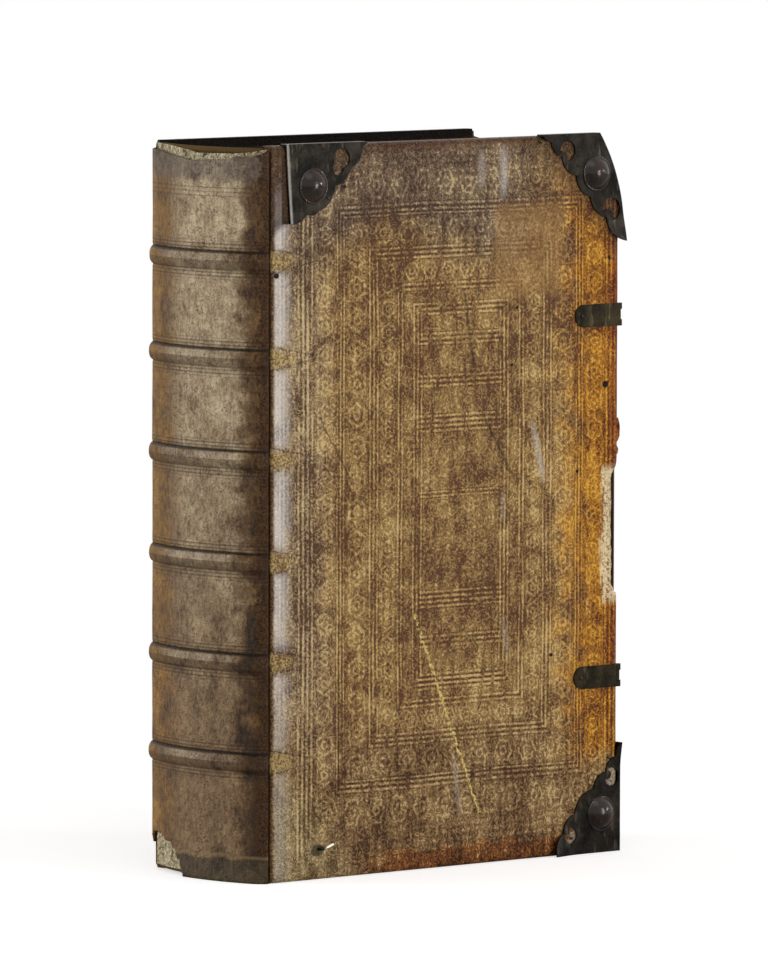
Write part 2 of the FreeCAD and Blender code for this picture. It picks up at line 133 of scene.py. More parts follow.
class Signal:
    """A node's output that takes part in sums like a number."""

    def __init__(self, tree, socket):
        self.tree = tree
        self.socket = socket

    def math(self, operation, *terms, **settings):
        values = dict(enumerate(terms))
        return add_node(self.tree, MATH, dict(operation=operation, **settings), values)

    def __add__(self, other):
        return self.math("ADD", self, other)

    def __radd__(self, other):
        return self.math("ADD", other, self)

    def __sub__(self, other):
        return self.math("SUBTRACT", self, other)

    def __rsub__(self, other):
        return self.math("SUBTRACT", other, self)

    def __mul__(self, other):
        return self.math("MULTIPLY", self, other)

    def __rmul__(self, other):
        return self.math("MULTIPLY", other, self)

    def __truediv__(self, other):
        return self.math("DIVIDE", self, other)

    def __abs__(self):
        return self.math("ABSOLUTE", self)

    def cosine(self):
        return self.math("COSINE", self)

    def least(self, other):
        return self.math("MINIMUM", self, other)

    def most(self, other):
        return self.math("MAXIMUM", self, other)

    def above(self, level):
        return self.math("GREATER_THAN", self, level)

    def clamped(self):
        return self.math("ADD", self, 0.0, use_clamp=True)

    def rise(self, low, high):
        """0 below the low value, 1 above the high one and smooth between."""
        settings = {"interpolation_type": "SMOOTHSTEP"}
        return add_node(self.tree, "ShaderNodeMapRange", settings, {0: self, 1: low, 2: high, 3: 0.0, 4: 1.0})

    def fall(self, low, high):
        return 1.0 - self.rise(low, high)


# %% [markdown]
# A finish is a material that is being made. It carries the place on the book in millimetres, so
# a line or a stain can be put where a rule would put it. Colours are written as they look on
# screen, from 0 to 255, and turned into the light values that a shader wants.

# %% A finish and its colours
def tone(red, green, blue):
    """A screen colour as the linear colour that a shader works with."""
    parts = [value / 255.0 for value in (red, green, blue)]
    return tuple(p / 12.92 if p <= 0.04045 else ((p + 0.055) / 1.055) ** 2.4 for p in parts) + (1.0,)


class Finish:
    """A material with the book's millimetres at hand."""

    def __init__(self, name):
        self.material = bpy.data.materials.new(name)
        self.material.use_nodes = True
        self.tree = self.material.node_tree
        self.shader = self.tree.nodes["Principled BSDF"]
        where = self.node("ShaderNodeTexCoord", {}, {}, "Object")
        scaled = {"Vector": where, "Location": tuple(origin * -1000.0), "Scale": (1000.0, 1000.0, 1000.0)}
        self.place = self.node("ShaderNodeMapping", {}, scaled)
        self.x = self.node("ShaderNodeSeparateXYZ", {}, {0: self.place}, 0)
        self.y = self.node("ShaderNodeSeparateXYZ", {}, {0: self.place}, 1)
        self.z = self.node("ShaderNodeSeparateXYZ", {}, {0: self.place}, 2)

    def node(self, kind, settings, values, output=0):
        return add_node(self.tree, kind, settings, values, output)

    def stretched(self, sizes, start=(0.0, 0.0, 0.0)):
        """The place on the book, measured in units of the given sizes."""
        scale = tuple(1.0 / size for size in sizes)
        return self.node("ShaderNodeMapping", {}, {"Vector": self.place, "Location": start, "Scale": scale})

    def noise(self, size, detail=3.0, roughness=0.55, start=0.0, stretch=(1.0, 1.0, 1.0)):
        """Cloudy noise whose patches are about the given number of millimetres across."""
        sizes = tuple(size * s for s in stretch)
        values = {"Vector": self.stretched(sizes, (start, start, start)), "Scale": 1.0, "Detail": detail,
                  "Roughness": roughness}
        return self.node("ShaderNodeTexNoise", {}, values)

    def mix(self, factor, first, second):
        """The first colour where the factor is 0 and the second where it is 1."""
        return self.node("ShaderNodeMix", {"data_type": "RGBA"}, {0: factor, 6: first, 7: second}, 2)

    def coat(self, colour, strength, pattern, low, high):
        """A colour with a second one laid over it, whose pattern runs from a low to a high tone."""
        return self.mix(strength, colour, self.mix(pattern, tone(*low), tone(*high)))

    def spot(self, x, z, radius_x, radius_z, soft=0.5):
        """1 inside an upright oval on a cover and 0 outside it."""
        across = (self.x - x) / radius_x
        up = (self.z - z) / radius_z
        return (across * across + up * up).fall(1.0 - soft, 1.0 + soft)

    def use(self, colour=None, roughness=None, bump=None, depth=0.1, metal=None, **constants):
        """Link what varies over the surface and set what doesn't."""
        for name, value in (("Base Color", colour), ("Roughness", roughness), ("Metallic", metal)):
            if isinstance(value, Signal):
                self.tree.links.new(value.socket, self.shader.inputs[name])
            elif value is not None:
                self.shader.inputs[name].default_value = value
        if bump is not None:
            values = {"Height": bump, "Distance": depth * 0.001, "Strength": 1.0}
            bumped = self.node("ShaderNodeBump", {}, values)
            self.tree.links.new(bumped.socket, self.shader.inputs["Normal"])
        for name, value in constants.items():
            self.shader.inputs[name.replace("_", " ")].default_value = value
        return self.material


print("A finish has the book's joint at x = 0 and its tail at z = 0")

# %% [markdown]
# The background of the photograph is pure white, and the book casts only a faint soft shadow at
# its foot. The floor is a pale sheet that gives off some light of its own to the camera, through
# Light Path, but not so much that the contact shadow is lost. Away from the book it turns to pure
# white. The world is white to the camera and in reflections, and dimmer as a light.

# %% Floor and world
floor_reach_m = 5.0
floor_mesh = bpy.data.meshes.new("floor")
bm = bmesh.new()
bmesh.ops.create_grid(bm, x_segments=1, y_segments=1, size=floor_reach_m)
bm.to_mesh(floor_mesh)
bm.free()
floor = bpy.data.objects.new("floor", floor_mesh)
bpy.context.scene.collection.objects.link(floor)

paper = Finish("floor paper")
grain = paper.noise(400.0, 2.0)
paper.use(colour=paper.mix(grain, tone(238, 238, 238), tone(246, 246, 246)), roughness=0.9)
seen = paper.node("ShaderNodeLightPath", {}, {}, "Is Camera Ray")
off_x = (paper.x - middle_mm.x) * 0.001
off_y = paper.y * 0.001
far_off = (off_x * off_x + off_y * off_y).rise(0.05, 0.30)
white = {"Color": (1.0, 1.0, 1.0, 1.0)}
near_glow = 0.58
glow = paper.node("ShaderNodeEmission", {}, {**white, "Strength": near_glow})
blank = paper.node("ShaderNodeEmission", {}, {**white, "Strength": 1.0})
plain = Signal(paper.tree, paper.shader.outputs[0])
lifted = paper.node("ShaderNodeAddShader", {}, {0: plain, 1: glow})
shown = paper.node("ShaderNodeMixShader", {}, {0: seen, 1: plain, 2: lifted})
shown = paper.node("ShaderNodeMixShader", {}, {0: seen * far_off, 1: shown, 2: blank})
paper.tree.links.new(shown.socket, paper.tree.nodes["Material Output"].inputs["Surface"])
floor_mesh.materials.append(paper.material)

world = bpy.data.worlds.new("studio")
world.use_nodes = True
bpy.context.scene.world = world
tree = world.node_tree
to_camera, to_gloss, to_glass = [add_node(tree, "ShaderNodeLightPath", {}, {}, name)
                                 for name in ("Is Camera Ray", "Is Glossy Ray", "Is Transmission Ray")]
strength = to_camera.most(to_gloss).most(to_glass) * 0.7 + 0.3
tree.links.new(strength.socket, tree.nodes["Background"].inputs["Strength"])
tree.nodes["Background"].inputs["Color"].default_value = (1.0, 1.0, 1.0, 1.0)
bpy.context.scene.view_settings.view_transform = "Standard"

# %% [markdown]
# Four soft boxes light the book. The tall front box stands before the cover and a little to the
# right. A small one further right puts the bright glint on each boss. The widest stands at the left
# behind the spine and gives the spine its broad sheen, and a weak one hangs over the book.

# %% Soft boxes
def soft_box(name, direction, distance, size, power):
    """A square lamp that faces the middle of the book."""
    data = bpy.data.lights.new(name, "AREA")
    data.shape = "RECTANGLE"
    data.size, data.size_y = size
    data.energy = power
    lamp = bpy.data.objects.new(name, data)
    bpy.context.scene.collection.objects.link(lamp)
    away = Vector(direction).normalized()
    middle = BOOK @ middle_mm
    turned = away.to_track_quat("Z", "Y").to_matrix().to_4x4()
    lamp.matrix_world = Matrix.Translation(middle + away * distance) @ turned
    return lamp


soft_box("front box", (0.30, -0.95, 0.03), 2.2, (0.34, 1.3), 20.0)
soft_box("glint box", (0.78, -0.62, 0.22), 2.2, (0.18, 0.18), 5.5)
soft_box("spine box", (-0.80, 0.58, 0.06), 2.0, (1.1, 1.4), 20.0)
soft_box("top box", (-0.25, -0.55, 1.0), 2.4, (1.2, 1.2), 5.0)

# %% [markdown]
# Most pieces are skins that start as a flat grid. The grid's lines are placed at chosen stations,
# close together where the leather bends and far apart where it lies flat, and then each point is
# moved to its place on the book.

# %% Grids and finished pieces
def stations(*runs):
    """Places along a line from (start, end, step) runs."""
    places = [runs[0][0]]
    for start, end, step in runs:
        count = max(1, round((end - start) / step))
        places += [start + (end - start) * k / count for k in range(1, count + 1)]
    return places


def station_grid(columns, rows):
    """A flat grid in X and Y whose lines lie at the given stations."""
    grid = bmesh.new()
    bmesh.ops.create_grid(grid, x_segments=len(columns) - 1, y_segments=len(rows) - 1, size=0.5)
    for vert in grid.verts:
        column = round((vert.co.x + 0.5) * (len(columns) - 1))
        row = round((vert.co.y + 0.5) * (len(rows) - 1))
        vert.co = Vector((columns[column], rows[row], 0.0))
    return grid


def make_piece(name, mesh_in_mm, finish, body, slot, *replaced, smooth=True):
    """Turn a mesh drawn in millimetres into a piece that rides on a body."""
    bmesh.ops.transform(mesh_in_mm, matrix=BOOK, verts=mesh_in_mm.verts)
    for face in mesh_in_mm.faces:
        face.smooth = smooth
    data = bpy.data.meshes.new(name)
    mesh_in_mm.to_mesh(data)
    mesh_in_mm.free()
    data.materials.append(finish)
    piece = bpy.data.objects.new(name, data)
    bpy.context.scene.collection.objects.link(piece)
    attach(piece, body)
    if replaced:
        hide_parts(*replaced)
    print(name, "has", len(data.polygons), "faces")
    return piece


def cloud(x, y, z, size, seed=0.0):
    """Smooth noise between -1 and 1 with patches of the given size."""
    return noise.noise(Vector((x / size + seed, y / size, z / size)))


def step_up(value, low, high):
    """A smooth step from 0 to 1, in Python numbers."""
    t = min(1.0, max(0.0, (value - low) / (high - low)))
    return t * t * (3.0 - 2.0 * t)


# %% [markdown]
# ## The cover's leather
# The leather is one sheet, pasted over the board, turned round its edges and folded in on the
# inside. The flat sheet is bent over each edge by how far a point lies beyond the board's face:
# first round the edge, then down the side, and then back in over the inner face.

# %% Bending a sheet round the board
edge_radius = 3.2
side_depth = 8.4
turn_in = 16.0
arc_length = edge_radius * math.pi / 2.0
fold_start = arc_length + side_depth - edge_radius
sheet_reach = fold_start + turn_in


def bend(beyond):
    """How far out and how far down a point goes that lies beyond the board's face."""
    if beyond < arc_length:
        angle = beyond / edge_radius
        return edge_radius * math.sin(angle), edge_radius * (1.0 - math.cos(angle))
    if beyond < fold_start:
        return edge_radius, edge_radius + beyond - arc_length
    return edge_radius - (beyond - fold_start), side_depth


def wrapped(x, z, low_x, high_x, low_z, high_z):
    """A point of the sheet as (x, depth, z) on the board."""
    near_x = min(high_x, max(low_x, x))
    near_z = min(high_z, max(low_z, z))
    off_x = x - near_x
    off_z = z - near_z
    beyond = math.hypot(off_x, off_z)
    if beyond < 1e-6:
        return x, 0.0, z
    out, down = bend(beyond)
    return near_x + off_x / beyond * out, down, near_z + off_z / beyond * out


print("Measured along the sheet, it turns in", round(fold_start, 1), "mm past the board's face")

# %% [markdown]
# The head corner at the fore-edge is worn round under its metal plate. Its outline is an arc
# through three points, and the sheet is pulled back to that arc near the fore-edge.

# %% The worn corner's arc
worn_run, worn_fall, worn_depth = 16.5, 57.0, 2.5


def circle_through(a, b, c):
    """Centre and radius of the circle through three points of a plane."""
    ax, az = a
    bx, bz = b
    cx, cz = c
    d = 2.0 * (ax * (bz - cz) + bx * (cz - az) + cx * (az - bz))
    sa, sb, sc = ax * ax + az * az, bx * bx + bz * bz, cx * cx + cz * cz
    ux = (sa * (bz - cz) + sb * (cz - az) + sc * (az - bz)) / d
    uz = (sa * (cx - bx) + sb * (ax - cx) + sc * (bx - ax)) / d
    return ux, uz, math.hypot(ax - ux, az - uz)


corner_x, corner_z, corner_radius = circle_through(
    (width, height - worn_fall), (width - worn_depth, height - worn_fall / 2.0), (width - worn_run, height))


def fore_limit(z):
    """Where the front cover ends at a height."""
    if z < height - worn_fall:
        return width
    return corner_x + math.sqrt(max(0.0, corner_radius ** 2 - (min(z, height) - corner_z) ** 2))


print("The worn corner is an arc of radius", round(corner_radius, 1), "mm")

# %% [markdown]
# Under the leather lie the cords' slips, which show as small mounds beside the joint. Where the
# paste has let go, the leather stands up in long soft blisters, and these catch the light.

# %% The relief of the front cover
blisters = [(138.5, 352.0, 376.0, 4.5, 1.0), (153.5, 347.0, 378.0, 5.0, 1.3), (178.0, 196.0, 233.0, 4.2, 1.2),
            (154.0, 178.0, 196.0, 2.8, 0.7), (156.0, 106.0, 131.0, 3.0, 0.7), (123.0, 24.0, 62.0, 3.6, 0.7)]
blister_lean = {178.0: 9.0, 156.0: 5.0, 123.0: 5.0}


def blister_height(x, z):
    total = 0.0
    for middle, low, high, reach, rise in blisters:
        lean = blister_lean.get(middle, 0.0)
        up = (z - low) / (high - low)
        axis = middle + ridge_x + lean * (0.5 - up)
        across = (x - axis) / reach
        along = (up - 0.5) * 2.0
        if abs(across) < 2.5 and abs(along) < 1.5:
            total += rise * math.exp(-across * across * 1.6 - along ** 4 * 1.4)
    return total


mound_rise, mound_reach = 0.75, 3.1


def mound_height(x, z):
    """The lump of a cord's slip under the leather, low at the joint so that the cover can fold back."""
    total = 0.0
    for band in bands:
        if abs(z - band) < 9.0 and x < 24.0:
            across = (z - band + x * 0.02) / mound_reach
            along = step_up(x, 0.5, 7.0) * (1.0 - step_up(x, 6.0, 20.0))
            total += mound_rise * math.exp(-across * across) * along
    return total


bevel_width, bevel_fall = 13.0, 1.3


def bevel_drop(x):
    """How far the cover's face falls towards the joint."""
    t = min(1.0, max(0.0, 1.0 - x / bevel_width))
    return bevel_fall * t ** 2.1


def cover_relief(x, z, seed):
    face = 0.16 * cloud(x, seed, z, 34.0) + 0.07 * cloud(x, seed + 9.0, z, 11.0)
    return face - bevel_drop(x) + mound_height(x, z)


print("The front cover has", len(blisters), "blisters and", len(bands), "mounds over its cords")

# %% [markdown]
# The fore-edge of the front cover has lost a long strip of its leather. The points of the sheet
# beyond a ragged line are taken away, and the row that is left is drawn onto that line.

# %% The front cover's sheet
wear_low, wear_high = 136.0, 207.0


def torn_line(z):
    """Where the leather ends at the fore-edge, as a place on the flat sheet."""
    if not wear_low < z < wear_high:
        return None
    inside = min(z - wear_low, wear_high - z)
    return width - 5.6 + 4.6 * (1.0 - step_up(inside, 0.0, 7.0)) + 0.9 * cloud(0.0, 4.0, z, 5.0) \
        + 0.4 * cloud(0.0, 9.0, z, 1.7)


def cover_sheet(seed, worn, broken):
    """The leather of one cover, drawn as a front cover."""
    flat_x = width - edge_radius
    flat_z = height - edge_radius
    columns = stations((0.2, bevel_width, 0.85), (bevel_width, 224.0, 2.1), (224.0, flat_x, 1.0),
                       (flat_x, flat_x + arc_length, 0.9), (flat_x + arc_length, flat_x + fold_start, 1.6),
                       (flat_x + fold_start, flat_x + fold_start + 0.4, 0.4),
                       (flat_x + fold_start + 0.4, flat_x + sheet_reach, 4.0))
    upper = [(flat_z, flat_z + arc_length, 0.9), (flat_z + arc_length, flat_z + fold_start, 1.6),
             (flat_z + fold_start, flat_z + fold_start + 0.4, 0.4),
             (flat_z + fold_start + 0.4, flat_z + sheet_reach, 4.0)]
    lower = [(height - end, height - start, step) for start, end, step in reversed(upper)]
    rows = stations(*lower, (edge_radius, flat_z, 2.1), *upper)
    sheet = station_grid(columns, rows)
    gone = []
    for vert in sheet.verts:
        x, z = vert.co.x, vert.co.y
        line = torn_line(z) if worn else None
        if line is not None and x > line + 1.2:
            gone.append(vert)
            continue
        if line is not None and x > line - 1.2:
            x = line
        off = math.hypot(max(0.0, x - flat_x), max(0.0, abs(z - height / 2.0) - flat_z + height / 2.0))
        if off > sheet_reach + 0.5 or (broken and broken_away(x, z)):
            gone.append(vert)
            continue
        px, depth, pz = wrapped(x, z, -9.0, flat_x, edge_radius, flat_z)
        pull = (width - fore_limit(pz)) * step_up(px, 190.0, width) if worn else 0.0
        relief = cover_relief(x, z, seed) * (1.0 - step_up(depth, 1.0, 3.0))
        if worn:
            relief += blister_height(x, z)
        vert.co = Vector((px - pull, -half + depth - relief, pz))
    bmesh.ops.delete(sheet, geom=gone, context="VERTS")
    bmesh.ops.recalc_face_normals(sheet, faces=sheet.faces)
    return sheet


break_width, break_step, break_slope = 26.0, 4.0, 1.05


def broken_away(x, z):
    """The head corner of the back board that has broken off."""
    inward = x - width + break_width
    return inward > 0.7 * cloud(0.0, 3.0, z, 4.0) and z > height - break_step - inward * break_slope


def outward(sheet, direction):
    """Turn the whole sheet over if its biggest face looks the wrong way."""
    face = max(sheet.faces, key=lambda f: f.calc_area())
    if face.normal.dot(direction) < 0.0:
        bmesh.ops.reverse_faces(sheet, faces=sheet.faces)


def thicken(sheet, thickness):
    """Close a sheet by giving it a wall on its inner side."""
    bmesh.ops.solidify(sheet, geom=sheet.faces[:], thickness=-thickness)


# %% [markdown]
# ## The tooled leather's finish
# The binder pressed the pattern in with heated tools: sets of straight lines that nest as frames,
# and between them bands of roundels and scrolls from an engraved wheel. Centuries of handling have
# polished the high places to gold and left wax and dirt in the low ones. So the finish is made of a
# distance to the frames, a wheel pattern that runs along them, and a mottle of two browns.

# %% Lines and wheel patterns
frame_x, frame_z = 125.5 + ridge_x, 196.0
frame_half_x, frame_half_z = 81.3, 148.5


def wobbled(finish, amount, size):
    """The place on the cover, shifted a little as a hand-held tool would wander."""
    drift_x = (finish.noise(size, 1.0, start=3.0) - 0.5) * amount
    drift_z = (finish.noise(size, 1.0, start=8.0) - 0.5) * amount
    return finish.x + drift_x, finish.z + drift_z


def fillets(d, at, pitch, count):
    """A set of parallel lines round a distance: up to +1 on a line and down to -1 between lines."""
    phase = 0.0 if count % 2 else math.pi
    wave = ((d - at) * (2.0 * math.pi / pitch) + phase).cosine()
    reach = pitch * count / 2.0
    return wave * abs(d - at).fall(reach - 0.3, reach + 0.1)


def wheel_band(along, d, inner, outer, repeat):
    """Roundels with petals in the strip between two distances, as a wheel would print them."""
    middle = (inner + outer) / 2.0
    reach = (outer - inner) / 2.0
    across = (d - middle) / reach
    turn_count = along / repeat
    cell = (turn_count.math("FRACT", turn_count) - 0.5) * (repeat / reach)
    radius = (across * across + cell * cell).math("SQRT", across * across + cell * cell)
    petals = (across.math("ARCTAN2", across, cell) * 6.0).cosine()
    ring = abs(radius - 0.66 - petals * 0.06).fall(0.02, 0.16)
    heart = abs(radius - 0.25).fall(0.02, 0.14)
    return (ring + heart) * abs(across).fall(0.92, 1.02)


def stroke(finish, start, end, reach, stray=0.0):
    """1 on a straight stroke between two places on the cover, with soft ends."""
    run = Vector(end) - Vector(start)
    length = run.length
    run.normalize()
    from_x = finish.x - (start[0] + ridge_x)
    from_z = finish.z - start[1]
    along = from_x * run.x + from_z * run.y
    off = abs(from_x * run.y - from_z * run.x + stray)
    return off.fall(reach * 0.4, reach) * along.rise(-1.0, 1.5) * along.fall(length - 2.0, length + 1.0)


print("The tooled frame measures", 2.0 * frame_half_x, "by", 2.0 * frame_half_z, "mm")

# %% [markdown]
# Every part of the cover's finish shares a few patterns: curls as fine as the wheel's, speckle like
# the pores of the skin, patches of wear, upright streaks and broad clouds. They are made once for
# each cover and kept with its finish, as is the distance to the nearest raised band.

# %% Patterns that the cover's finish shares
def grained(name, curl_start, patch_start):
    """A finish with the shared patterns at hand."""
    skin = Finish(name)
    skin.curls = (skin.noise(4.4, 1.0, 0.5, curl_start) * 34.0).cosine().rise(0.25, 0.95)
    skin.speckle = skin.noise(1.2, 2.0, 0.7, 5.0).rise(0.36, 0.64)
    skin.patches = skin.noise(13.0, 4.0, 0.66, patch_start)
    skin.streaks = skin.noise(3.2, 2.0, 0.6, 7.0, (1.0, 1.0, 8.0))
    skin.cloudy = skin.noise(60.0, 2.0, 0.5, 4.0)
    skin.stray = (skin.noise(5.0, 2.0, 0.7, 3.0) - 0.5) * 5.0
    skin.to_band = abs(skin.z - bands[0])
    for band in bands[1:]:
        skin.to_band = skin.to_band.least(abs(skin.z - band))
    return skin


# %% [markdown]
# The frame is drawn by distance. At each place the larger of the distances past its upright sides
# and past its level sides counts, so the lines meet in mitred corners. A set of lines or a strip of
# roundels is then one row in a table.

# %% Where the tools went
outer_rules = (23.5, 3.0, 4)
frame_rules = [(0.0, 2.2, 3), (-22.2, 2.6, 3), (-40.0, 2.6, 2), (-51.8, 2.6, 3)]
panel_rules = [(46.0, 2.6, 4), (68.0, 2.6, 3), (90.0, 2.6, 3)]
panel_middle = 187.0
middle_rules = (196.0, 2.2, 2)
wheel_runs = [(3.0, 18.0, 15.5), (-19.0, -3.0, 16.5), (-38.0, -25.6, 12.5)]


def tooling(skin, x, z):
    """The pressed lines, from -1 between them to 1 on them, and the wheel's roundels."""
    side = abs(x - frame_x) - frame_half_x
    end = abs(z - frame_z) - frame_half_z
    end = end - end.most(0.0) * 0.24
    d = side.most(end)
    upright = side.above(end)
    along = z * upright + x * (1.0 - upright)
    lines = fillets(d, *outer_rules) * (upright * 0.75 + 0.25)
    lines = lines + sum(fillets(d, *rule) for rule in frame_rules)
    panel = sum(fillets(abs(z - panel_middle), *rule) for rule in panel_rules) + fillets(z, *middle_rules)
    lines = (lines + panel * side.fall(-54.0, -51.0)) * skin.streaks.rise(0.3, 0.6)
    return lines, sum(wheel_band(along, d, *run) for run in wheel_runs)


line_sets = [outer_rules, middle_rules] + frame_rules + panel_rules
print("Sets of lines:", len(line_sets), "and strips of roundels:", len(wheel_runs))

# %% [markdown]
# Colour differs over the cover as handling did. The middle is golden, the head and the left side are
# grey-brown, the fore-edge is amber where hands held it, and the tail edge has gone nearly red. Each
# zone has a strength, a dark tone and a light tone, and the zones are laid over each other in turn.
# One worn pattern then decides between dark and light.

# %% Zones of colour on a cover
def zone_tones(skin, x, z):
    """The dark and the light tone of each place, and how amber it is."""
    patches, cloudy = skin.patches, skin.cloudy
    amber = (x + patches * 56.0).rise(212.0, 248.0) * (z - patches * 30.0).rise(20.0, 44.0)
    head = (z + cloudy * 90.0).rise(346.0, 386.0) * (x - cloudy * 60.0).fall(120.0, 190.0)
    left = (x + patches * 24.0).fall(30.0, 62.0)
    low = (z - patches * 40.0).fall(30.0, 78.0) * (1.0 - amber)
    foot = (z - patches * 14.0).fall(2.0, 6.0) * (x - patches * 60.0).rise(20.0, 50.0)
    pale = (skin.x + skin.z * 0.7 + patches * 40.0).fall(58.0, 90.0)
    reddened = skin.x.rise(width - 14.0, width - 3.0) * skin.z.rise(60.0, 120.0) * amber * 0.7
    zones = [(amber, (96, 42, 4), (220, 152, 46)), (left, (90, 62, 40), (214, 186, 140)),
             (head, (66, 44, 32), (158, 132, 102)), (low, (68, 38, 18), (180, 144, 94)),
             (foot, (48, 18, 2), (170, 104, 44)), (pale, (94, 70, 38), (206, 180, 130)),
             (reddened, (84, 24, 0), (190, 104, 22))]
    dark, light = tone(92, 58, 34), tone(204, 166, 100)
    for strength, darker, lighter in zones:
        dark = skin.mix(strength, dark, tone(*darker))
        light = skin.mix(strength, light, tone(*lighter))
    return dark, light, amber


# %% [markdown]
# Beside the joint the cover has a long rounded ridge that rubs on the shelf and shines, and a painted
# highlight lies along it. The joint itself is rusty brown leather, darkened further as painted shade
# of its recess. At each band the cord's slip spreads under the leather, with a painted highlight on its
# mound, and the binder drew two lines there that run together like a closed fan.

# %% The side beside the joint
def joint_side(skin, colour):
    """Lay the ridge's painted highlight, the joint's painted shade, the slips' painted highlights and the
    fans over a colour. Gives the ridge back too.
    """
    ridge = skin.x.rise(1.2, 3.4) * (skin.x + skin.patches * 9.0).fall(9.0, 19.5)
    ridge = ridge * (skin.to_band + skin.patches * 4.0).rise(5.0, 12.0)
    ridge = ridge * (skin.z.rise(20.0, 190.0) * 0.62 + 0.25) * skin.z.fall(350.0, 366.0)
    fine_rules = fillets(skin.x, 8.2, 2.5, 3)
    # A painted highlight along the ridge, lifting its colour towards near white.
    gloss = ridge * (0.86 + (skin.speckle - 0.5) * 0.3 + fine_rules * 0.2 + (skin.patches - 0.5) * 1.2)
    colour = skin.mix(gloss.clamped(), colour, tone(240, 230, 222))
    # The joint's edge: dark leather, darkened further as painted shade of its recess.
    colour = skin.coat(colour, skin.x.fall(0.8, 2.8) * 0.9, skin.speckle, (30, 12, 2), (116, 74, 32))
    # A painted highlight on the mound over each cord's slip.
    painted_slip_highlight = (skin.to_band + skin.x * 0.18).fall(3.0, 7.0) * skin.x.fall(5.0, 26.0)
    colour = skin.coat(colour, painted_slip_highlight * 0.6, skin.speckle, (112, 76, 36), (226, 196, 128))
    fans = abs(skin.to_band - (33.0 - skin.x) * 0.19) + skin.speckle * 0.5
    fans = fans.fall(0.2, 0.9) * skin.x.fall(26.0, 33.0)
    return skin.mix(fans * 0.6, colour, tone(46, 26, 14)), ridge


# %% [markdown]
# The front cover has marks of its own: a square scuffed patch, blisters rubbed pale and lit further by
# a painted highlight, one long scratch, a few creases painted dark as shade in their folds, worm holes,
# and a green stain where the bent nail's plate once lay. The back cover gets fewer marks, because nobody
# can see it in the photograph.

# %% Marks of use
scuff_x, scuff_z = 172.5, 321.0
crease_lines = [((142.0, 234.0), (161.0, 203.0), 1.0, 0.3), ((128.0, 300.0), (134.0, 262.0), 1.2, 1.0),
                ((30.0, 240.0), (52.0, 205.0), 0.8, 1.0)]
scratch_line = ((94.0, 134.0), (139.0, 27.0), 1.0)
scrape_line = ((70.0, 250.0), (190.0, 214.0), 1.2)
holes = [(227.5, 315.0, 1.1), (163.6, 291.0, 0.9), (160.3, 261.0, 0.8), (205.6, 203.0, 1.0),
         (187.8, 107.0, 1.1), (1.8, 313.5, 1.5), (225.0, 248.0, 2.0)]
back_holes = [(61.0, 88.0, 1.0), (142.0, 301.0, 0.9), (203.0, 152.0, 1.1)]


def scuffed(skin, colour):
    """The scuffed patch, and the blisters with their tops rubbed pale and lightened further as a painted
    highlight.
    """
    scuff = abs(skin.x - scuff_x).most(abs(skin.z - scuff_z)) + (skin.patches - 0.5) * 12.0
    pattern = skin.speckle * 0.7 + skin.patches * 0.3
    colour = skin.coat(colour, scuff.fall(20.0, 27.0) * 0.55, pattern, (132, 92, 46), (186, 144, 86))
    rubbed = 0.0
    for middle, bottom, top, reach, rise in blisters:
        off = skin.z - (bottom + top) / 2.0
        lean = blister_lean.get(middle, 0.0) / (top - bottom)
        across = (skin.x - (middle + ridge_x) + off * lean) / reach
        up = off / ((top - bottom) / 2.0)
        rubbed = (across * across * 1.8 + up * up * up * up).fall(-0.6, 1.6) * (0.2 + rise * 0.6) + rubbed
    # The blisters' tops are rubbed pale and lightened further as a painted highlight.
    rubbed = rubbed.clamped() * rubbed * (skin.speckle * 0.5 + 0.6)
    return skin.mix(rubbed.clamped(), colour, tone(214, 204, 192))


def front_marks(skin, colour):
    creases = sum(stroke(skin, start, end, reach, skin.stray * loose)
                  for start, end, reach, loose in crease_lines)
    # The creases are painted dark, as shade in their folds.
    colour = skin.mix(creases.clamped() * 0.6, colour, tone(40, 24, 14))
    scratch = stroke(skin, *scratch_line, skin.stray) * skin.speckle.rise(0.1, 0.6)
    colour = skin.mix(scratch * 0.9, colour, tone(240, 214, 124))
    verdigris = skin.spot(30.6, 15.3, 4.2, 3.2, 0.5)
    return skin.mix(verdigris * 0.8, colour, tone(34, 38, 16))


def back_marks(skin, colour):
    scrape = stroke(skin, *scrape_line, skin.stray)
    return skin.mix(scrape * 0.6, colour, tone(190, 160, 112))


def pitted(skin, places):
    """Worm holes, as (place, height, radius)."""
    return sum(skin.spot(x + ridge_x, z, reach, reach * 0.9, 0.35) for x, z, reach in places)


print("Worm holes:", len(holes), "in front and", len(back_holes), "behind")

# %% [markdown]
# The edges tell where a book was held. The head edge is scraped, the fore-edge's rim has gone red,
# and the leather is stained dark round the metal plates, with painted shade under them. The worn
# fore-edge has lost its surface, so pale fibres show. The back cover's head is painted black as shade.

# %% Worn edges and stains
plate_side_top, plate_side_slope = 8.3, 0.07


def plate_side(z):
    """Where the slanted side of the head plate beside the joint lies at a height."""
    return plate_side_top + (height - z) * plate_side_slope


def worn_edges(skin, colour):
    scraped = (skin.z + skin.speckle * 2.0).rise(377.0, 378.5)
    scraped = scraped * (skin.x + skin.patches * 60.0).rise(80.0, 100.0)
    colour = skin.coat(colour, scraped * 0.8, skin.speckle, (30, 14, 5), (112, 68, 34))
    rim = skin.x.rise(width - 5.0, width - 1.0) * skin.z.rise(215.0, 235.0)
    return skin.mix(rim * 0.7, colour, tone(110, 32, 2))


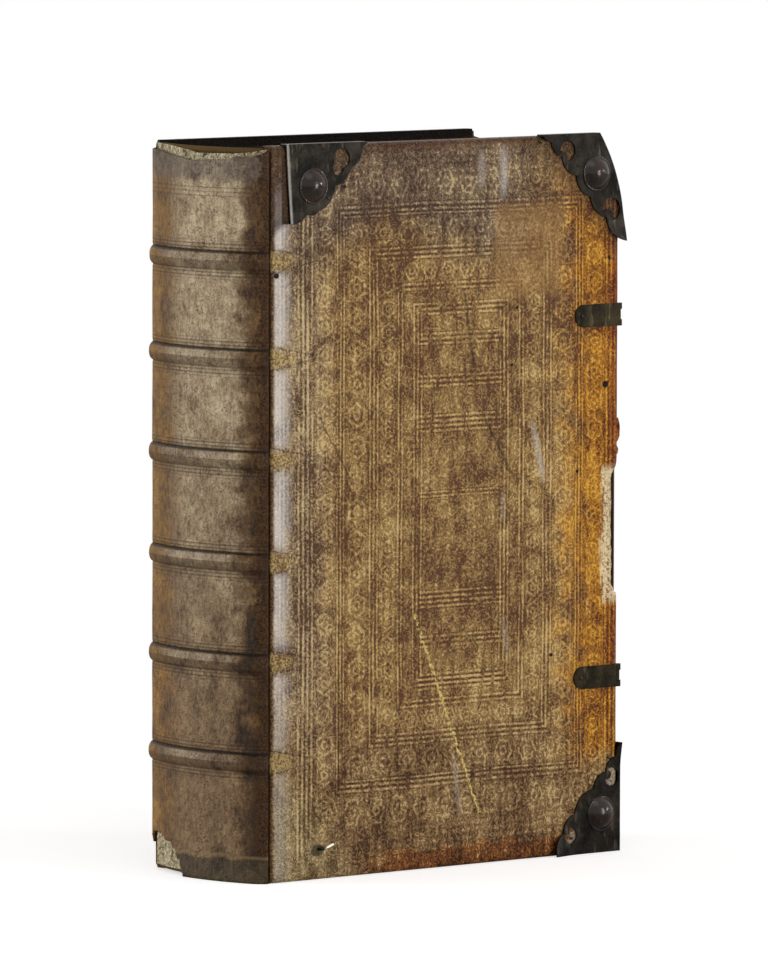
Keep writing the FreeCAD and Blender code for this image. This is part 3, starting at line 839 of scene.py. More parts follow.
def round_plates(skin, colour, worn):
    """Stains and painted shade by the two head plates, dust in the tail plate's openings, and the flayed
    fore-edge.
    """
    # Stains round the two head plates, darkened further under the plates as painted shade.
    stain_and_plate_shade = (skin.x + skin.z - (width + 325.2) + skin.patches * 24.0).rise(-8.0, 14.0)
    stain_and_plate_shade = stain_and_plate_shade + (skin.z - 340.2 - (skin.x - 10.4) * 0.765).rise(-2.0, 4.0) * skin.x.fall(56.0, 60.0)
    colour = skin.coat(colour, stain_and_plate_shade.clamped() * 0.8, worn, (36, 20, 10), (112, 80, 50))
    insides = (skin.x - (width - 45.3) - skin.z * 0.79).rise(3.0, 4.5) * skin.z.fall(60.0, 61.0)
    colour = skin.coat(colour, insides * 0.8, skin.speckle, (120, 104, 82), (186, 172, 148))
    flayed = (skin.x + (skin.streaks - 0.5) * 10.0).rise(width - 13.5, width - 11.5)
    flayed = flayed * skin.z.rise(wear_low - 6.0, wear_low) * skin.z.fall(wear_high - 6.0, wear_high)
    fibres = (skin.speckle * 0.5 + skin.streaks * 0.7).rise(0.2, 0.7)
    return skin.coat(colour, flayed * 0.85, fibres, (142, 88, 40), (250, 230, 184))


def shelf_side(skin, colour):
    """The back cover's duller border, and the painted shade that blackens its head."""
    handled = (skin.x - 120.0) / 115.0
    handled = (handled * handled + (skin.patches - 0.5) * 1.6).rise(0.55, 1.1)
    colour = skin.coat(colour, handled * 0.5, skin.speckle, (56, 32, 16), (150, 112, 66))
    # Painted shade: the head of the back cover goes nearly black.
    painted_head_shade = (skin.z + skin.speckle * 2.0).rise(368.0, 378.0)
    return skin.mix(painted_head_shade * 0.97, colour, tone(5, 3, 1))


# %% [markdown]
# Now the finish comes together, from the ground colour up to the stains. Beside the head plate a
# painted shadow darkens the leather where the plate stands off the ridge. The back cover reflects
# less, because it stands away from the light and its head has to stay black.

# %% The tooled leather of a cover
def tooled_leather(name, front):
    skin = grained(name, 2.0, 1.0) if front else grained(name, 21.0, 17.0)
    x, z = wobbled(skin, 1.8, 70.0)
    lines, wheels = tooling(skin, x, z)
    dark, light, amber = zone_tones(skin, x, z)
    worn = skin.speckle * 0.34 + skin.curls * 0.42 + (skin.patches - 0.5) * 1.5 + (skin.streaks - 0.5) * 1.1
    worn = worn + wheels * 0.34 + lines * 0.44 + (skin.cloudy - 0.5) * 0.9 + 0.06
    colour = skin.mix(worn.clamped(), dark, light)
    colour = skin.coat(colour, worn.rise(0.70, 1.10) * 0.55, amber, (228, 204, 148), (234, 188, 74))
    if front:
        colour = scuffed(skin, colour)
    colour, ridge = joint_side(skin, colour)
    pits_and_plate_shadow = pitted(skin, holes if front else back_holes)
    if front:
        colour = front_marks(skin, colour)
        # Painted shadow: a wedge of leather beside the head plate's slanted side is darkened as if the plate
        # shaded it.
        gap = skin.x.rise(6.5, 7.0) * (skin.x - plate_side(skin.z)).fall(0.97, 1.57)
        pits_and_plate_shadow = pits_and_plate_shadow + gap * skin.z.rise(339.5, 340.5) * skin.z.fall(377.0, 379.0)
    else:
        colour = back_marks(skin, colour)
    # Worm holes and the painted shadow beside the head plate go nearly black.
    colour = skin.mix(pits_and_plate_shadow.clamped(), colour, tone(9, 4, 1))
    colour = worn_edges(skin, colour)
    colour = round_plates(skin, colour, worn) if front else shelf_side(skin, colour)
    relief = lines * 0.35 + wheels * 0.3 + skin.speckle * 0.42 + skin.curls * 0.2 - pits_and_plate_shadow * 2.0
    shine = 0.50 - skin.speckle * 0.12 - ridge * 0.10
    return skin.use(colour=colour, roughness=shine, bump=relief, depth=0.42,
                    Specular_IOR_Level=0.14 if front else 0.06)


front_finish = tooled_leather("tooled leather, front", True)
print("The front cover's finish has", len(front_finish.node_tree.nodes), "nodes")
sheet = cover_sheet(2.0, True, False)
outward(sheet, Vector((0.0, -1.0, 0.0)))
thicken(sheet, leather)
make_piece("front_cover_leather", sheet, front_finish, "front_cover", "front_leather", "front_leather")

# %% [markdown]
# The back cover is the same sheet turned over. Its corner broke off with the board. It has no
# blisters and no worn strip, and its finish has patches and holes of its own.

# %% The back cover's leather
def turned_over(sheet):
    """Mirror a front cover into a back cover."""
    bmesh.ops.scale(sheet, vec=(1.0, -1.0, 1.0), verts=sheet.verts)
    bmesh.ops.reverse_faces(sheet, faces=sheet.faces)
    return sheet


sheet = turned_over(cover_sheet(31.0, False, True))
outward(sheet, Vector((0.0, 1.0, 0.0)))
thicken(sheet, leather)
back_finish = tooled_leather("tooled leather, back", False)
make_piece("back_cover_leather", sheet, back_finish, "back_cover", "back_leather", "back_leather")

# %% [markdown]
# ## The spine
# Across the spine the leather follows three arcs: a tight shoulder at each joint and a flatter
# middle. The arcs meet without a corner because the middle one's radius is worked out from the
# shoulders. The raised bands are the same curve pushed out over the cords, and they fade out
# towards the joints, where the cords turn into the boards.

# %% The spine's curve
bulge = 13.5
shoulder_radius = 10.0
shoulder_turn = math.radians(70.0)
spine_edge = 45.7
centre_in = shoulder_radius * math.cos(shoulder_turn)
centre_out = spine_edge - shoulder_radius * math.sin(shoulder_turn)
across = centre_in + bulge
middle_radius = (across ** 2 + centre_out ** 2 - shoulder_radius ** 2) / (2.0 * (across - shoulder_radius))
join = math.atan2(centre_out, middle_radius - across)
shoulder_run = shoulder_radius * (shoulder_turn - join)
middle_run = middle_radius * join
spine_run = 2.0 * (shoulder_run + middle_run)
print("The leather runs", round(spine_run, 1), "mm across the spine")


def spine_point(run, inset=0.0):
    """Place and outward direction at a distance along the curve from its middle."""
    side = -1.0 if run < 0.0 else 1.0
    run = abs(run)
    if run < middle_run:
        centre, angle, radius = Vector((middle_radius - bulge, 0.0)), run / middle_radius, middle_radius
    else:
        centre, radius = Vector((centre_in, centre_out)), shoulder_radius
        angle = join + (run - middle_run) / shoulder_radius
    normal = Vector((-math.cos(angle), math.sin(angle)))
    place = centre + normal * (radius - inset)
    return Vector((place.x, place.y * side)), Vector((normal.x, normal.y * side))


def spine_depth(y):
    """How far the spine's curve lies behind the joint at a place across it."""
    y = min(abs(y), spine_edge)
    if y < middle_radius * math.sin(join):
        return math.sqrt(middle_radius ** 2 - y ** 2) - middle_radius + bulge
    return math.sqrt(max(0.0, shoulder_radius ** 2 - (y - centre_out) ** 2)) - centre_in


def across_table(points, y):
    """A value read off a list of (y, value) points in falling order of y."""
    for (y1, v1), (y2, v2) in zip(points, points[1:]):
        if y >= y2:
            return v1 + (v2 - v1) * min(1.0, max(0.0, (y1 - y) / (y1 - y2)))
    return points[-1][1]


# %% [markdown]
# The leather is torn at the head, and at the back corner of the tail its skin is gone. Both tears
# are tables of heights across the spine, with small noise added. Each band swells over its cord,
# has a groove on either side where the binder pressed it in, and sinks to nothing at the joints.

# %% The spine's torn and banded leather
band_reach = 3.9
band_rise = 2.5
head_tear = [(46.5, 4.0), (33.0, 4.6), (22.0, 5.8), (8.0, 7.4), (0.0, 8.4), (-12.0, 7.6), (-25.0, 7.2),
             (-31.0, 5.4), (-40.0, 5.7), (-44.0, 3.6), (-46.5, 1.2)]
tail_tear = [(46.0, 11.0), (43.0, 17.5), (36.0, 21.0), (29.0, 19.0), (18.0, 16.0), (11.0, 9.0), (7.0, 0.0)]


def head_edge(y):
    """The height of the torn leather's upper edge."""
    ragged = 0.5 * cloud(y, 0.0, 2.0, 2.4) + 0.35 * cloud(y, 5.0, 2.0, 0.9)
    return height - across_table(head_tear, y) + ragged


def tail_edge(y):
    """The height below which the leather's skin is torn off at the back corner of the tail."""
    if y < 7.0:
        return -1.0
    return across_table(tail_tear, y) + 1.1 * cloud(y, 7.0, 2.0, 4.0) + 0.5 * cloud(y, 3.0, 2.0, 1.1)


def band_profile(up):
    """The height of a raised band at a distance from its middle, from 0 to 1."""
    return max(0.0, 1.0 - abs(up / band_reach) ** 2.6) ** 0.55


def spine_relief(run, z):
    """How far the spine's leather stands out over the plain curve."""
    end = spine_run / 2.0 - abs(run)
    out = 0.16 * cloud(run, 3.0, z, 26.0) + 0.07 * cloud(run, 6.0, z, 8.0)
    for band in bands:
        droop = 1.4 * step_up(-run, 20.0, 50.0)
        up = z - band + droop
        if abs(up) < 9.0:
            fade = step_up(end, 0.0, 10.5)
            wander = 1.0 + 0.12 * cloud(run, band, 0.0, 9.0)
            groove = 0.45 * math.exp(-(abs(up) - 4.9) ** 2 / 0.6)
            out += (band_rise * band_profile(up) * wander - groove) * fade
    return out


rows = []
floor_z = 0.0
for band in reversed(bands):
    rows += [(floor_z, band - 8.0, 1.7), (band - 8.0, band - 4.6, 0.55), (band - 4.6, band + 3.6, 0.34),
             (band + 3.6, band + 8.0, 0.55)]
    floor_z = band + 8.0
rows.append((floor_z, height - 12.0, 1.7))
rows.append((height - 12.0, height, 0.8))
spine_rows = stations(*rows)
edge_run = spine_run / 2.0 - 0.25
spine_columns = stations((-edge_run, 8.0 - edge_run, 0.9), (8.0 - edge_run, edge_run - 6.0, 1.35),
                         (edge_run - 6.0, edge_run, 1.0))
print("The spine's sheet has", len(spine_columns), "by", len(spine_rows), "lines")


def spine_sheet(low_edge, high_edge, inset, relief, cell):
    """The part of the spine's curve that lies between two ragged edges."""
    sheet = station_grid(spine_columns, spine_rows)
    gone = []
    for vert in sheet.verts:
        run, z = vert.co.x, vert.co.y
        place, normal = spine_point(run, inset)
        top = high_edge(place.y)
        bottom = low_edge(place.y)
        if z > top + cell * 0.5 or z < bottom - cell * 0.5:
            gone.append(vert)
            continue
        z = min(top, max(bottom, z)) if z > top - cell * 0.5 or z < bottom + cell * 0.5 else z
        out = place + normal * relief(run, z)
        vert.co = Vector((min(out.x, -0.25), out.y, z))
    bmesh.ops.delete(sheet, geom=gone, context="VERTS")
    return sheet


# %% [markdown]
# The spine's finish is greyer than the cover's, because dust and light reach it on a shelf. A painted
# highlight makes its middle shine, the side beside the front cover is dark leather with painted shade
# over it, and the far side has worn back to orange. Each band has a painted highlight on its upper
# side and painted shade on its lower side and in its grooves, and the joints are dark leather darkened
# further as painted shade. Ruled lines run above and below each band, and fine cracks cross the patches.

# %% The spine's finish
def nearest_band(skin):
    """The distance to the nearest band, and 1 where that band lies below."""
    gap = abs(skin.z - bands[0])
    above = (skin.z - bands[0]).above(0.0)
    for band in bands[1:]:
        nearer = (gap - abs(skin.z - band)).above(0.0)
        gap = gap.least(abs(skin.z - band))
        above = above + nearer * ((skin.z - band).above(0.0) - above)
    return gap, above


def spine_leather_finish():
    skin = Finish("worn leather, spine")
    grain = skin.noise(1.0, 2.0, 0.7, 2.0).rise(0.34, 0.66)
    wrinkles = skin.noise(2.0, 3.0, 0.66, 6.0, (1.0, 1.0, 2.0)).rise(0.34, 0.66)
    patches = skin.noise(15.0, 4.0, 0.66, 4.0)
    field = (grain * 0.34 + wrinkles * 0.3 + (patches - 0.5) * 2.0 + 0.18).clamped()
    across = skin.y + (patches - 0.5) * 26.0
    gap, above = nearest_band(skin)

    # Dark leather beside the front cover, with painted shade laid into its colour.
    dark_leather_and_shade = skin.mix(field, tone(34, 15, 3), tone(134, 100, 62))
    dark_leather_and_shade = skin.coat(dark_leather_and_shade, skin.z.fall(60.0, 300.0), field, (14, 5, 0), (68, 42, 18))
    # A painted highlight across the middle of the spine.
    painted_sheen = across.rise(-42.0, -28.0) * across.fall(2.0, 26.0)
    low = (skin.z + patches * 60.0).fall(90.0, 320.0)
    far = (across + (wrinkles - 0.5) * 10.0).rise(14.0, 44.0) * (across.fall(38.0, 54.0) * 0.6 + 0.4)
    colour = skin.mix(field, tone(62, 36, 12), tone(150, 112, 62))
    colour = skin.coat(colour, painted_sheen, field, (104, 74, 40), (228, 206, 168))
    colour = skin.coat(colour, low * 0.75, field, (48, 25, 7), (152, 112, 66))
    colour = skin.coat(colour, far * (0.9 - wrinkles * 0.35), field, (84, 48, 6), (196, 148, 58))
    colour = skin.mix(across.fall(-44.0, -30.0) * 0.85, colour, dark_leather_and_shade)

    top = (skin.z - patches * 8.0).rise(354.0, 362.0)
    head_rules = fillets(skin.z, 356.0, 2.2, 3)
    colour = skin.coat(colour, top * 0.7, field, (50, 42, 34), (134, 122, 110))
    colour = skin.mix(head_rules.clamped() * 0.4, colour, tone(44, 28, 14))

    on_band = gap.fall(3.2, 4.2)
    # A painted highlight on the upper side of each band, and painted shade on its lower side.
    lit = on_band * above * across.rise(-40.0, -18.0) * across.fall(10.0, 34.0)
    colour = skin.coat(colour, lit * 0.45, field, (96, 70, 42), (224, 208, 180))
    colour = skin.coat(colour, on_band * (1.0 - above) * 0.55, field, (30, 15, 5), (104, 76, 44))
    # Dark leather in the joints, darkened further as painted shade of their recesses.
    joint = (skin.y + (wrinkles - 0.5) * 3.0).fall(-45.0, -42.6)
    joint = joint + (skin.y + (wrinkles - 0.5) * 6.0).rise(41.0, 46.5)
    colour = skin.coat(colour, joint * 0.9, grain, (14, 6, 0), (92, 58, 24))
    rules = ((gap - 5.4) * (2.0 * math.pi / 1.9)).cosine().fall(-0.9, 0.2)
    rules = rules * gap.fall(9.6, 10.4) * gap.rise(4.9, 5.5)
    # Painted shade in the grooves beside each band, deeper in the groove above the band.
    painted_groove_shade = abs(gap - 4.4).fall(0.2, 1.3)
    colour = skin.mix(rules * 0.5, colour, tone(44, 26, 12))
    colour = skin.mix(painted_groove_shade * (0.5 + above * 0.4), colour, tone(16, 7, 2))

    foot = skin.z + (patches - 0.5) * 5.0
    colour = skin.coat(colour, foot.fall(11.0, 12.5) * 0.85, field, (20, 15, 8), (96, 82, 58))
    colour = skin.mix(abs(foot - 13.2).fall(0.2, 1.3) * 0.5, colour, tone(150, 128, 88))
    cracks = skin.noise(9.0, 3.0, 0.7, 12.0, (1.0, 1.0, 0.6))
    cracks = abs(cracks - 0.5).fall(0.0, 0.012) * patches.rise(0.46, 0.56)
    colour = skin.mix(cracks * 0.7, colour, tone(30, 16, 6))
    relief = grain * 0.35 + wrinkles * 0.45 - rules * 0.3 - cracks
    return skin.use(colour=colour, roughness=0.42 + grain * 0.14, bump=relief, depth=0.4,
                    Specular_IOR_Level=0.2)


spine_finish = spine_leather_finish()
print("The spine's finish has", len(spine_finish.node_tree.nodes), "nodes")
sheet = spine_sheet(tail_edge, head_edge, 0.0, spine_relief, 1.6)
outward(sheet, Vector((-1.0, 0.0, 0.0)))
thicken(sheet, leather)
make_piece("spine_leather_skin", sheet, spine_finish, "book_block", "spine_leather", "spine_leather")

# %% [markdown]
# ## The leaves
# A text block is hundreds of leaves whose edges were cut together, but time has moved them: each
# gathering of leaves stands a little higher or lower than its neighbours. Each gathering is a
# thin slab here, cut from a box by planes so that its edges can wave, and the single leaves are
# fine stripes in the finish.

# %% The gatherings
block_half = 39.7
block_low, block_high = 5.0, 375.0
block_fore = width - 6.0
fore_hollow = 5.0
gathering_count = 58


def cut_across(mesh, places, axis):
    """Cut a mesh by upright or level planes."""
    for place in places:
        point = [0.0, 0.0, 0.0]
        normal = [0.0, 0.0, 0.0]
        point[axis] = place
        normal[axis] = 1.0
        bmesh.ops.bisect_plane(mesh, geom=mesh.verts[:] + mesh.edges[:] + mesh.faces[:],
                               plane_co=point, plane_no=normal)


def gathering(index):
    """One slab of leaves."""
    thickness = 2.0 * block_half / gathering_count
    y = -block_half + (index + 0.5) * thickness
    slab = bmesh.new()
    bmesh.ops.create_cube(slab, size=1.0)
    fore = block_fore - fore_hollow * (1.0 - (y / block_half) ** 2) + 0.25 * cloud(index, 0.0, 1.0, 1.7)
    low = block_low + 0.25 + 0.22 * cloud(index, 4.0, 1.0, 1.3)
    high = block_high - 0.25 + 0.3 * cloud(index, 9.0, 1.0, 1.3)
    back_x = -spine_depth(y) + 2.6
    bmesh.ops.scale(slab, vec=(fore - back_x, thickness * 0.985, high - low), verts=slab.verts)
    bmesh.ops.translate(slab, vec=((fore + back_x) / 2.0, y, (low + high) / 2.0), verts=slab.verts)
    cut_across(slab, (block_fore - 40.0, block_fore - 120.0, 60.0, 10.0), 0)
    cut_across(slab, (45.0, 100.0, 160.0, 220.0, 280.0, 335.0), 2)
    for vert in slab.verts:
        at_fore = step_up(vert.co.x, block_fore - 30.0, block_fore - 6.0)
        at_end = step_up(abs(vert.co.z - 190.0), 170.0, 184.0)
        vert.co.x += at_fore * 0.25 * cloud(index * 0.35, 2.0, vert.co.z, 60.0)
        vert.co.z += at_end * 0.25 * cloud(vert.co.x, index * 7.0, 3.0, 60.0)
    return slab


def joined(parts):
    """Several meshes as one."""
    whole = bmesh.new()
    for part in parts:
        held = bpy.data.meshes.new("held")
        part.to_mesh(held)
        part.free()
        whole.from_mesh(held)
        bpy.data.meshes.remove(held)
    return whole


# %% [markdown]
# Old rag paper is cream inside and brown where air and hands have reached it. Near the head the edges
# are painted nearly black as shade. Stripes a fraction of a millimetre apart stand for single leaves.

# %% The paper's finish
def paper_finish(name, paper_head_shade):
    sheet = Finish(name)
    foxing = sheet.noise(14.0, 3.0, 0.6, 3.0)
    specks = sheet.noise(2.2, 2.0, 0.6, 7.0)
    leaves = sheet.noise(0.55, 2.0, 0.6, 1.0, (60.0, 1.0, 60.0))
    gather = sheet.noise(2.4, 2.0, 0.6, 5.0, (60.0, 1.0, 60.0))
    near_edge = abs(sheet.z - 190.0).rise(178.0, 184.6).most(sheet.x.rise(216.0, 225.0))
    head = sheet.z.rise(344.0, 372.0)
    clean = sheet.mix(foxing.rise(0.35, 0.7), tone(214, 196, 158), tone(190, 164, 120))
    clean = sheet.mix(specks.rise(0.62, 0.72) * 0.5, clean, tone(150, 112, 70))
    edge = sheet.mix((leaves * 0.7 + gather * 0.5).rise(0.35, 0.85), tone(78, 56, 34), tone(170, 140, 98))
    colour = sheet.mix(near_edge, clean, edge)
    # Painted shade: near the head the cut edges are darkened almost to black.
    colour = sheet.mix(head * near_edge * paper_head_shade, colour, tone(12, 7, 3))
    relief = leaves * 0.8 * near_edge + specks * 0.1
    return sheet.use(colour=colour, roughness=0.85, bump=relief, depth=0.3, Specular_IOR_Level=0.06)


page_finish = paper_finish("aged paper, leaves", 0.9)
block = joined([gathering(index) for index in range(gathering_count)])
bmesh.ops.recalc_face_normals(block, faces=block.faces)
make_piece("leaves", block, page_finish, "book_block", "page_paper", "text_block", smooth=False)

# %% [markdown]
# ## Board, lining, cord and thread
# These pieces show only at worn places and when the covers are open. Their solids have the right
# shape, so they stay and get finishes: quarter-sawn wood with its long grain, fibrous lining,
# twisted hemp and soiled thread.

# %% Finishes for the solids that stay
def wood_finish():
    wood = Finish("old board wood")
    rings = wood.noise(2.4, 4.0, 0.6, 2.0, (1.0, 1.0, 26.0))
    broad = wood.noise(11.0, 2.0, 0.5, 6.0, (1.0, 1.0, 12.0))
    pores = wood.noise(0.7, 2.0, 0.6, 9.0, (1.0, 1.0, 14.0))
    colour = wood.mix((rings * 0.7 + broad * 0.4).rise(0.35, 0.75), tone(62, 42, 24), tone(122, 90, 56))
    colour = wood.mix(pores.rise(0.6, 0.7) * 0.6, colour, tone(38, 24, 14))
    # Painted shade: a strip of board near the fore-edge, seen where the leather is torn away, is made nearly
    # black.
    painted_notch_shade = wood.x.rise(width - 9.0, width - 7.0) * wood.x.fall(width - 3.4, width - 2.6)
    colour = wood.mix(painted_notch_shade * 0.95, colour, tone(10, 5, 2))
    return wood.use(colour=colour, roughness=0.8, bump=rings + pores, depth=0.3, Specular_IOR_Level=0.1)


def fibre_finish(name, low, high, size, stretch, shadow):
    fibre = Finish(name)
    strands = fibre.noise(size, 3.0, 0.65, 3.0, stretch).rise(0.36, 0.62)
    tufts = fibre.noise(size * 5.0, 3.0, 0.6, 8.0)
    cracks = abs(fibre.noise(4.0, 2.0, 0.6, 5.0) - 0.5).fall(0.0, 0.02)
    colour = fibre.mix(strands, low, high)
    colour = fibre.mix((tufts.fall(0.34, 0.42) * 0.7 + cracks).clamped(), colour, shadow)
    # Painted shade: faces that look inwards, towards the leaves, are darkened almost to black.
    face = fibre.node("ShaderNodeNewGeometry", {}, {}, "Normal")
    inward = fibre.node("ShaderNodeSeparateXYZ", {}, {0: face}, 0).rise(0.0, 0.3)
    colour = fibre.mix(inward, colour, tone(12, 7, 3))
    return fibre.use(colour=colour, roughness=0.9, bump=strands + tufts - cracks, depth=0.5,
                     Specular_IOR_Level=0.1)


def twisted_finish(name, low, high, pitch):
    """Strands that lean across a cord, as dark and light stripes."""
    cord = Finish(name)
    lean = (cord.y + cord.x + cord.z * 0.8) * (2.0 * math.pi / pitch)
    fray = cord.noise(0.8, 2.0, 0.6, 2.0)
    twist = (lean + fray * 3.0).cosine() * 0.5 + 0.5
    colour = cord.mix(twist * 0.7 + fray * 0.3, low, high)
    return cord.use(colour=colour, roughness=0.85, bump=twist + fray * 0.5, depth=0.3, Specular_IOR_Level=0.2)


def dress(names, finish):
    """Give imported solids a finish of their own."""
    for name in names:
        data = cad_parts[name].data
        data.materials.clear()
        data.materials.append(finish)


board_finish = wood_finish()
lining_finish = fibre_finish("fibrous lining", tone(190, 164, 116), tone(255, 244, 210), 0.9, (1.0, 1.0, 2.0),
                             tone(52, 34, 16))
hemp_finish = twisted_finish("twisted hemp", tone(96, 76, 46), tone(168, 142, 98), 2.2)
thread_finish = twisted_finish("endband thread", tone(58, 42, 20), tone(132, 104, 58), 1.6)
pasted_finish = paper_finish("pasted endpaper", 0.0)
dress(["front_board", "back_board"], board_finish)
dress(["spine_lining_%d" % k for k in range(1, 8)], lining_finish)
dress(["sewing_cord_%d" % k for k in range(1, 7)], hemp_finish)
dress(["%s_cord_slip_%d" % (side, k) for side in ("front", "back") for k in range(1, 7)], hemp_finish)
dress(["head_endband", "tail_endband"], thread_finish)
dress(["front_pastedown", "back_pastedown"], pasted_finish)

# %% [markdown]
# ## The metalwork
# The corner plates were cut and filed from sheet brass and have gone nearly black, with paler
# metal showing where edges were rubbed. Their tips have been bent up by careless shelving. The
# imported solid has the outline, so a merged copy of it is cut by planes, its tips are bent, and its
# rim is given a small bevel in the paler metal, lightened further as a painted highlight.

# %% Bent copies of the plates
def copy_in_mm(name):
    """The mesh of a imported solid, merged and in the book's millimetres."""
    copied = bmesh.new()
    copied.from_mesh(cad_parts[name].data)
    bmesh.ops.transform(copied, matrix=BOOK.inverted(), verts=copied.verts)
    bmesh.ops.remove_doubles(copied, verts=copied.verts, dist=0.002)
    bmesh.ops.dissolve_limit(copied, angle_limit=math.radians(0.5), verts=copied.verts, edges=copied.edges)
    return copied


def bevelled(piece, width_mm, rubbed_edge_highlight_finish, segments=2):
    """Round off the sharp edges of a piece and let the paler metal show there, lightened as a painted
    highlight.
    """
    piece.data.materials.append(rubbed_edge_highlight_finish)
    edge = piece.modifiers.new("filed edge", "BEVEL")
    edge.width = width_mm * 0.001
    edge.segments = segments
    edge.limit_method = "ANGLE"
    edge.angle_limit = math.radians(40.0)
    edge.material = 1
    return piece


def tip_lift(x, z, tip_x, tip_z, reach, rise):
    """How far a bent-up tip stands off, growing towards the tip."""
    away = math.hypot(x - tip_x, z - tip_z)
    return rise * max(0.0, 1.0 - away / reach) ** 1.6


plate_tips = {
    "head_spine_corner_plate": [(10.4, 340.2, 9.0, 0.3), (58.5, 377.0, 14.0, 0.5), (41.0, 358.8, 7.0, 0.4)],
    "head_fore_corner_plate": [(width + 1.5, 323.5, 16.0, 2.6), (width - 54.8, 380.0, 15.0, 0.5),
                               (width - 31.0, 358.8, 6.0, 0.3)],
    "tail_fore_corner_plate": [(width - 45.3, 0.5, 19.0, 3.2), (width, 57.8, 14.0, 1.8),
                               (width - 17.6, 34.2, 6.0, 0.4)],
}


def bent_plate(name):
    plate = copy_in_mm(name)
    low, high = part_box(name)
    low = BOOK.inverted() @ low
    high = BOOK.inverted() @ high
    cut_across(plate, stations((low.x + 2.0, high.x - 0.5, 3.0)), 0)
    cut_across(plate, stations((low.z + 2.0, high.z - 0.5, 3.0)), 2)
    for vert in plate.verts:
        if name == "head_spine_corner_plate":
            vert.co.x = max(vert.co.x, plate_side(vert.co.z))
        x, z = vert.co.x, vert.co.z
        lift = sum(tip_lift(x, z, *tip) for tip in plate_tips[name])
        dent = 0.10 * cloud(x, 3.0, z, 9.0)
        vert.co.y -= lift + dent
    return plate


def metal_finish(name, low, high, rub, base_roughness, metal_share=0.75, gloss=0.5):
    """Tarnished metal: dark, cloudy, paler where it was rubbed, with a painted highlight along the head
    plate's free side.
    """
    metal = Finish(name)
    clouds = metal.noise(9.0, 4.0, 0.6, 2.0)
    grain = metal.noise(1.2, 3.0, 0.65, 6.0)
    drips = metal.noise(3.0, 2.0, 0.6, 4.0, (1.0, 1.0, 4.0))
    colour = metal.mix((clouds * 0.8 + grain * 0.35).rise(0.4, 0.8), low, high)
    colour = metal.mix(drips.rise(0.58, 0.75) * 0.5, colour, rub)
    inward = metal.x - plate_side(metal.z)
    # A painted highlight along the head plate's free side, where its edge turns.
    painted_bevel_highlight = inward.rise(0.2, 0.8) * (inward + grain * 2.0).fall(2.4, 3.6) * metal.z.rise(330.0, 340.0)
    colour = metal.coat(colour, painted_bevel_highlight * 0.7, grain, (84, 82, 78), (176, 172, 164))
    roughness = base_roughness + grain * 0.16 + clouds * 0.12
    return metal.use(colour=colour, roughness=roughness, bump=grain * 0.7 + clouds, depth=0.12,
                     metal=metal_share, Specular_IOR_Level=gloss)


plate_finish = metal_finish("tarnished sheet brass", tone(10, 8, 5), tone(48, 43, 36), tone(92, 84, 70),
                            0.26, gloss=0.2)
rubbed_edge_highlight_finish = metal_finish("rubbed brass edge, painted highlight", tone(52, 46, 36), tone(112, 102, 84), tone(160, 148, 124),
                           0.3, gloss=0.2)
for name in plate_tips:
    bevelled(make_piece(name.replace("_corner", "_bent"), bent_plate(name), plate_finish, "front_cover",
                        "plate_brass", name, smooth=False), 0.35, rubbed_edge_highlight_finish)

# %% [markdown]
# Each boss was cast and turned, so its profile is drawn once, as the edge of a dome on a thin
# bead, and spun about its own axis.

# %% The bosses
boss_radius = 8.4
boss_rise = 4.4


def boss_profile():
    """Points from the plate up to the middle of the dome, as (radius, height)."""
    ball = (boss_radius ** 2 + boss_rise ** 2) / (2.0 * boss_rise)
    widest = math.asin(boss_radius / ball)
    points = [(9.4, 0.0), (9.42, 0.25), (9.25, 0.48), (9.0, 0.6), (8.75, 0.55), (8.55, 0.5)]
    for step in range(13):
        angle = widest * (1.0 - step / 12.0)
        points.append((ball * math.sin(angle), 0.6 + boss_rise - ball * (1.0 - math.cos(angle))))
    return points


def spun_boss(name):
    low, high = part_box(name)
    seat = ((low + high) / 2.0 - origin) * 1000.0
    seat_y = (high.y - origin.y) * 1000.0
    boss = bmesh.new()
    verts = [boss.verts.new((seat.x + r, seat_y - up, seat.z)) for r, up in boss_profile()]
    edges = [boss.edges.new(pair) for pair in zip(verts, verts[1:])]
    bmesh.ops.spin(boss, geom=verts + edges, cent=(seat.x, seat_y, seat.z), axis=(0.0, 1.0, 0.0),
                   angle=2.0 * math.pi, steps=56, use_merge=True)
    bmesh.ops.remove_doubles(boss, verts=boss.verts, dist=0.01)
    rim = [edge for edge in boss.edges if edge.is_boundary]
    bmesh.ops.holes_fill(boss, edges=rim, sides=0)
    bmesh.ops.recalc_face_normals(boss, faces=boss.faces)
    return boss


boss_finish = metal_finish("dark cast brass", tone(16, 8, 3), tone(58, 36, 16), tone(92, 64, 34), 0.01,
                           metal_share=0.0, gloss=0.34)
for name in ("head_spine_boss", "head_fore_boss", "tail_fore_boss"):
    make_piece(name.replace("boss", "turned_boss"), spun_boss(name), boss_finish, "front_cover",
               "boss_brass", name)

# %% [markdown]
# Little brass nails hold the plates at the cusps of their scalloped edges, and one rivet holds each
# clasp plate. They are turned like the bosses, only much smaller.

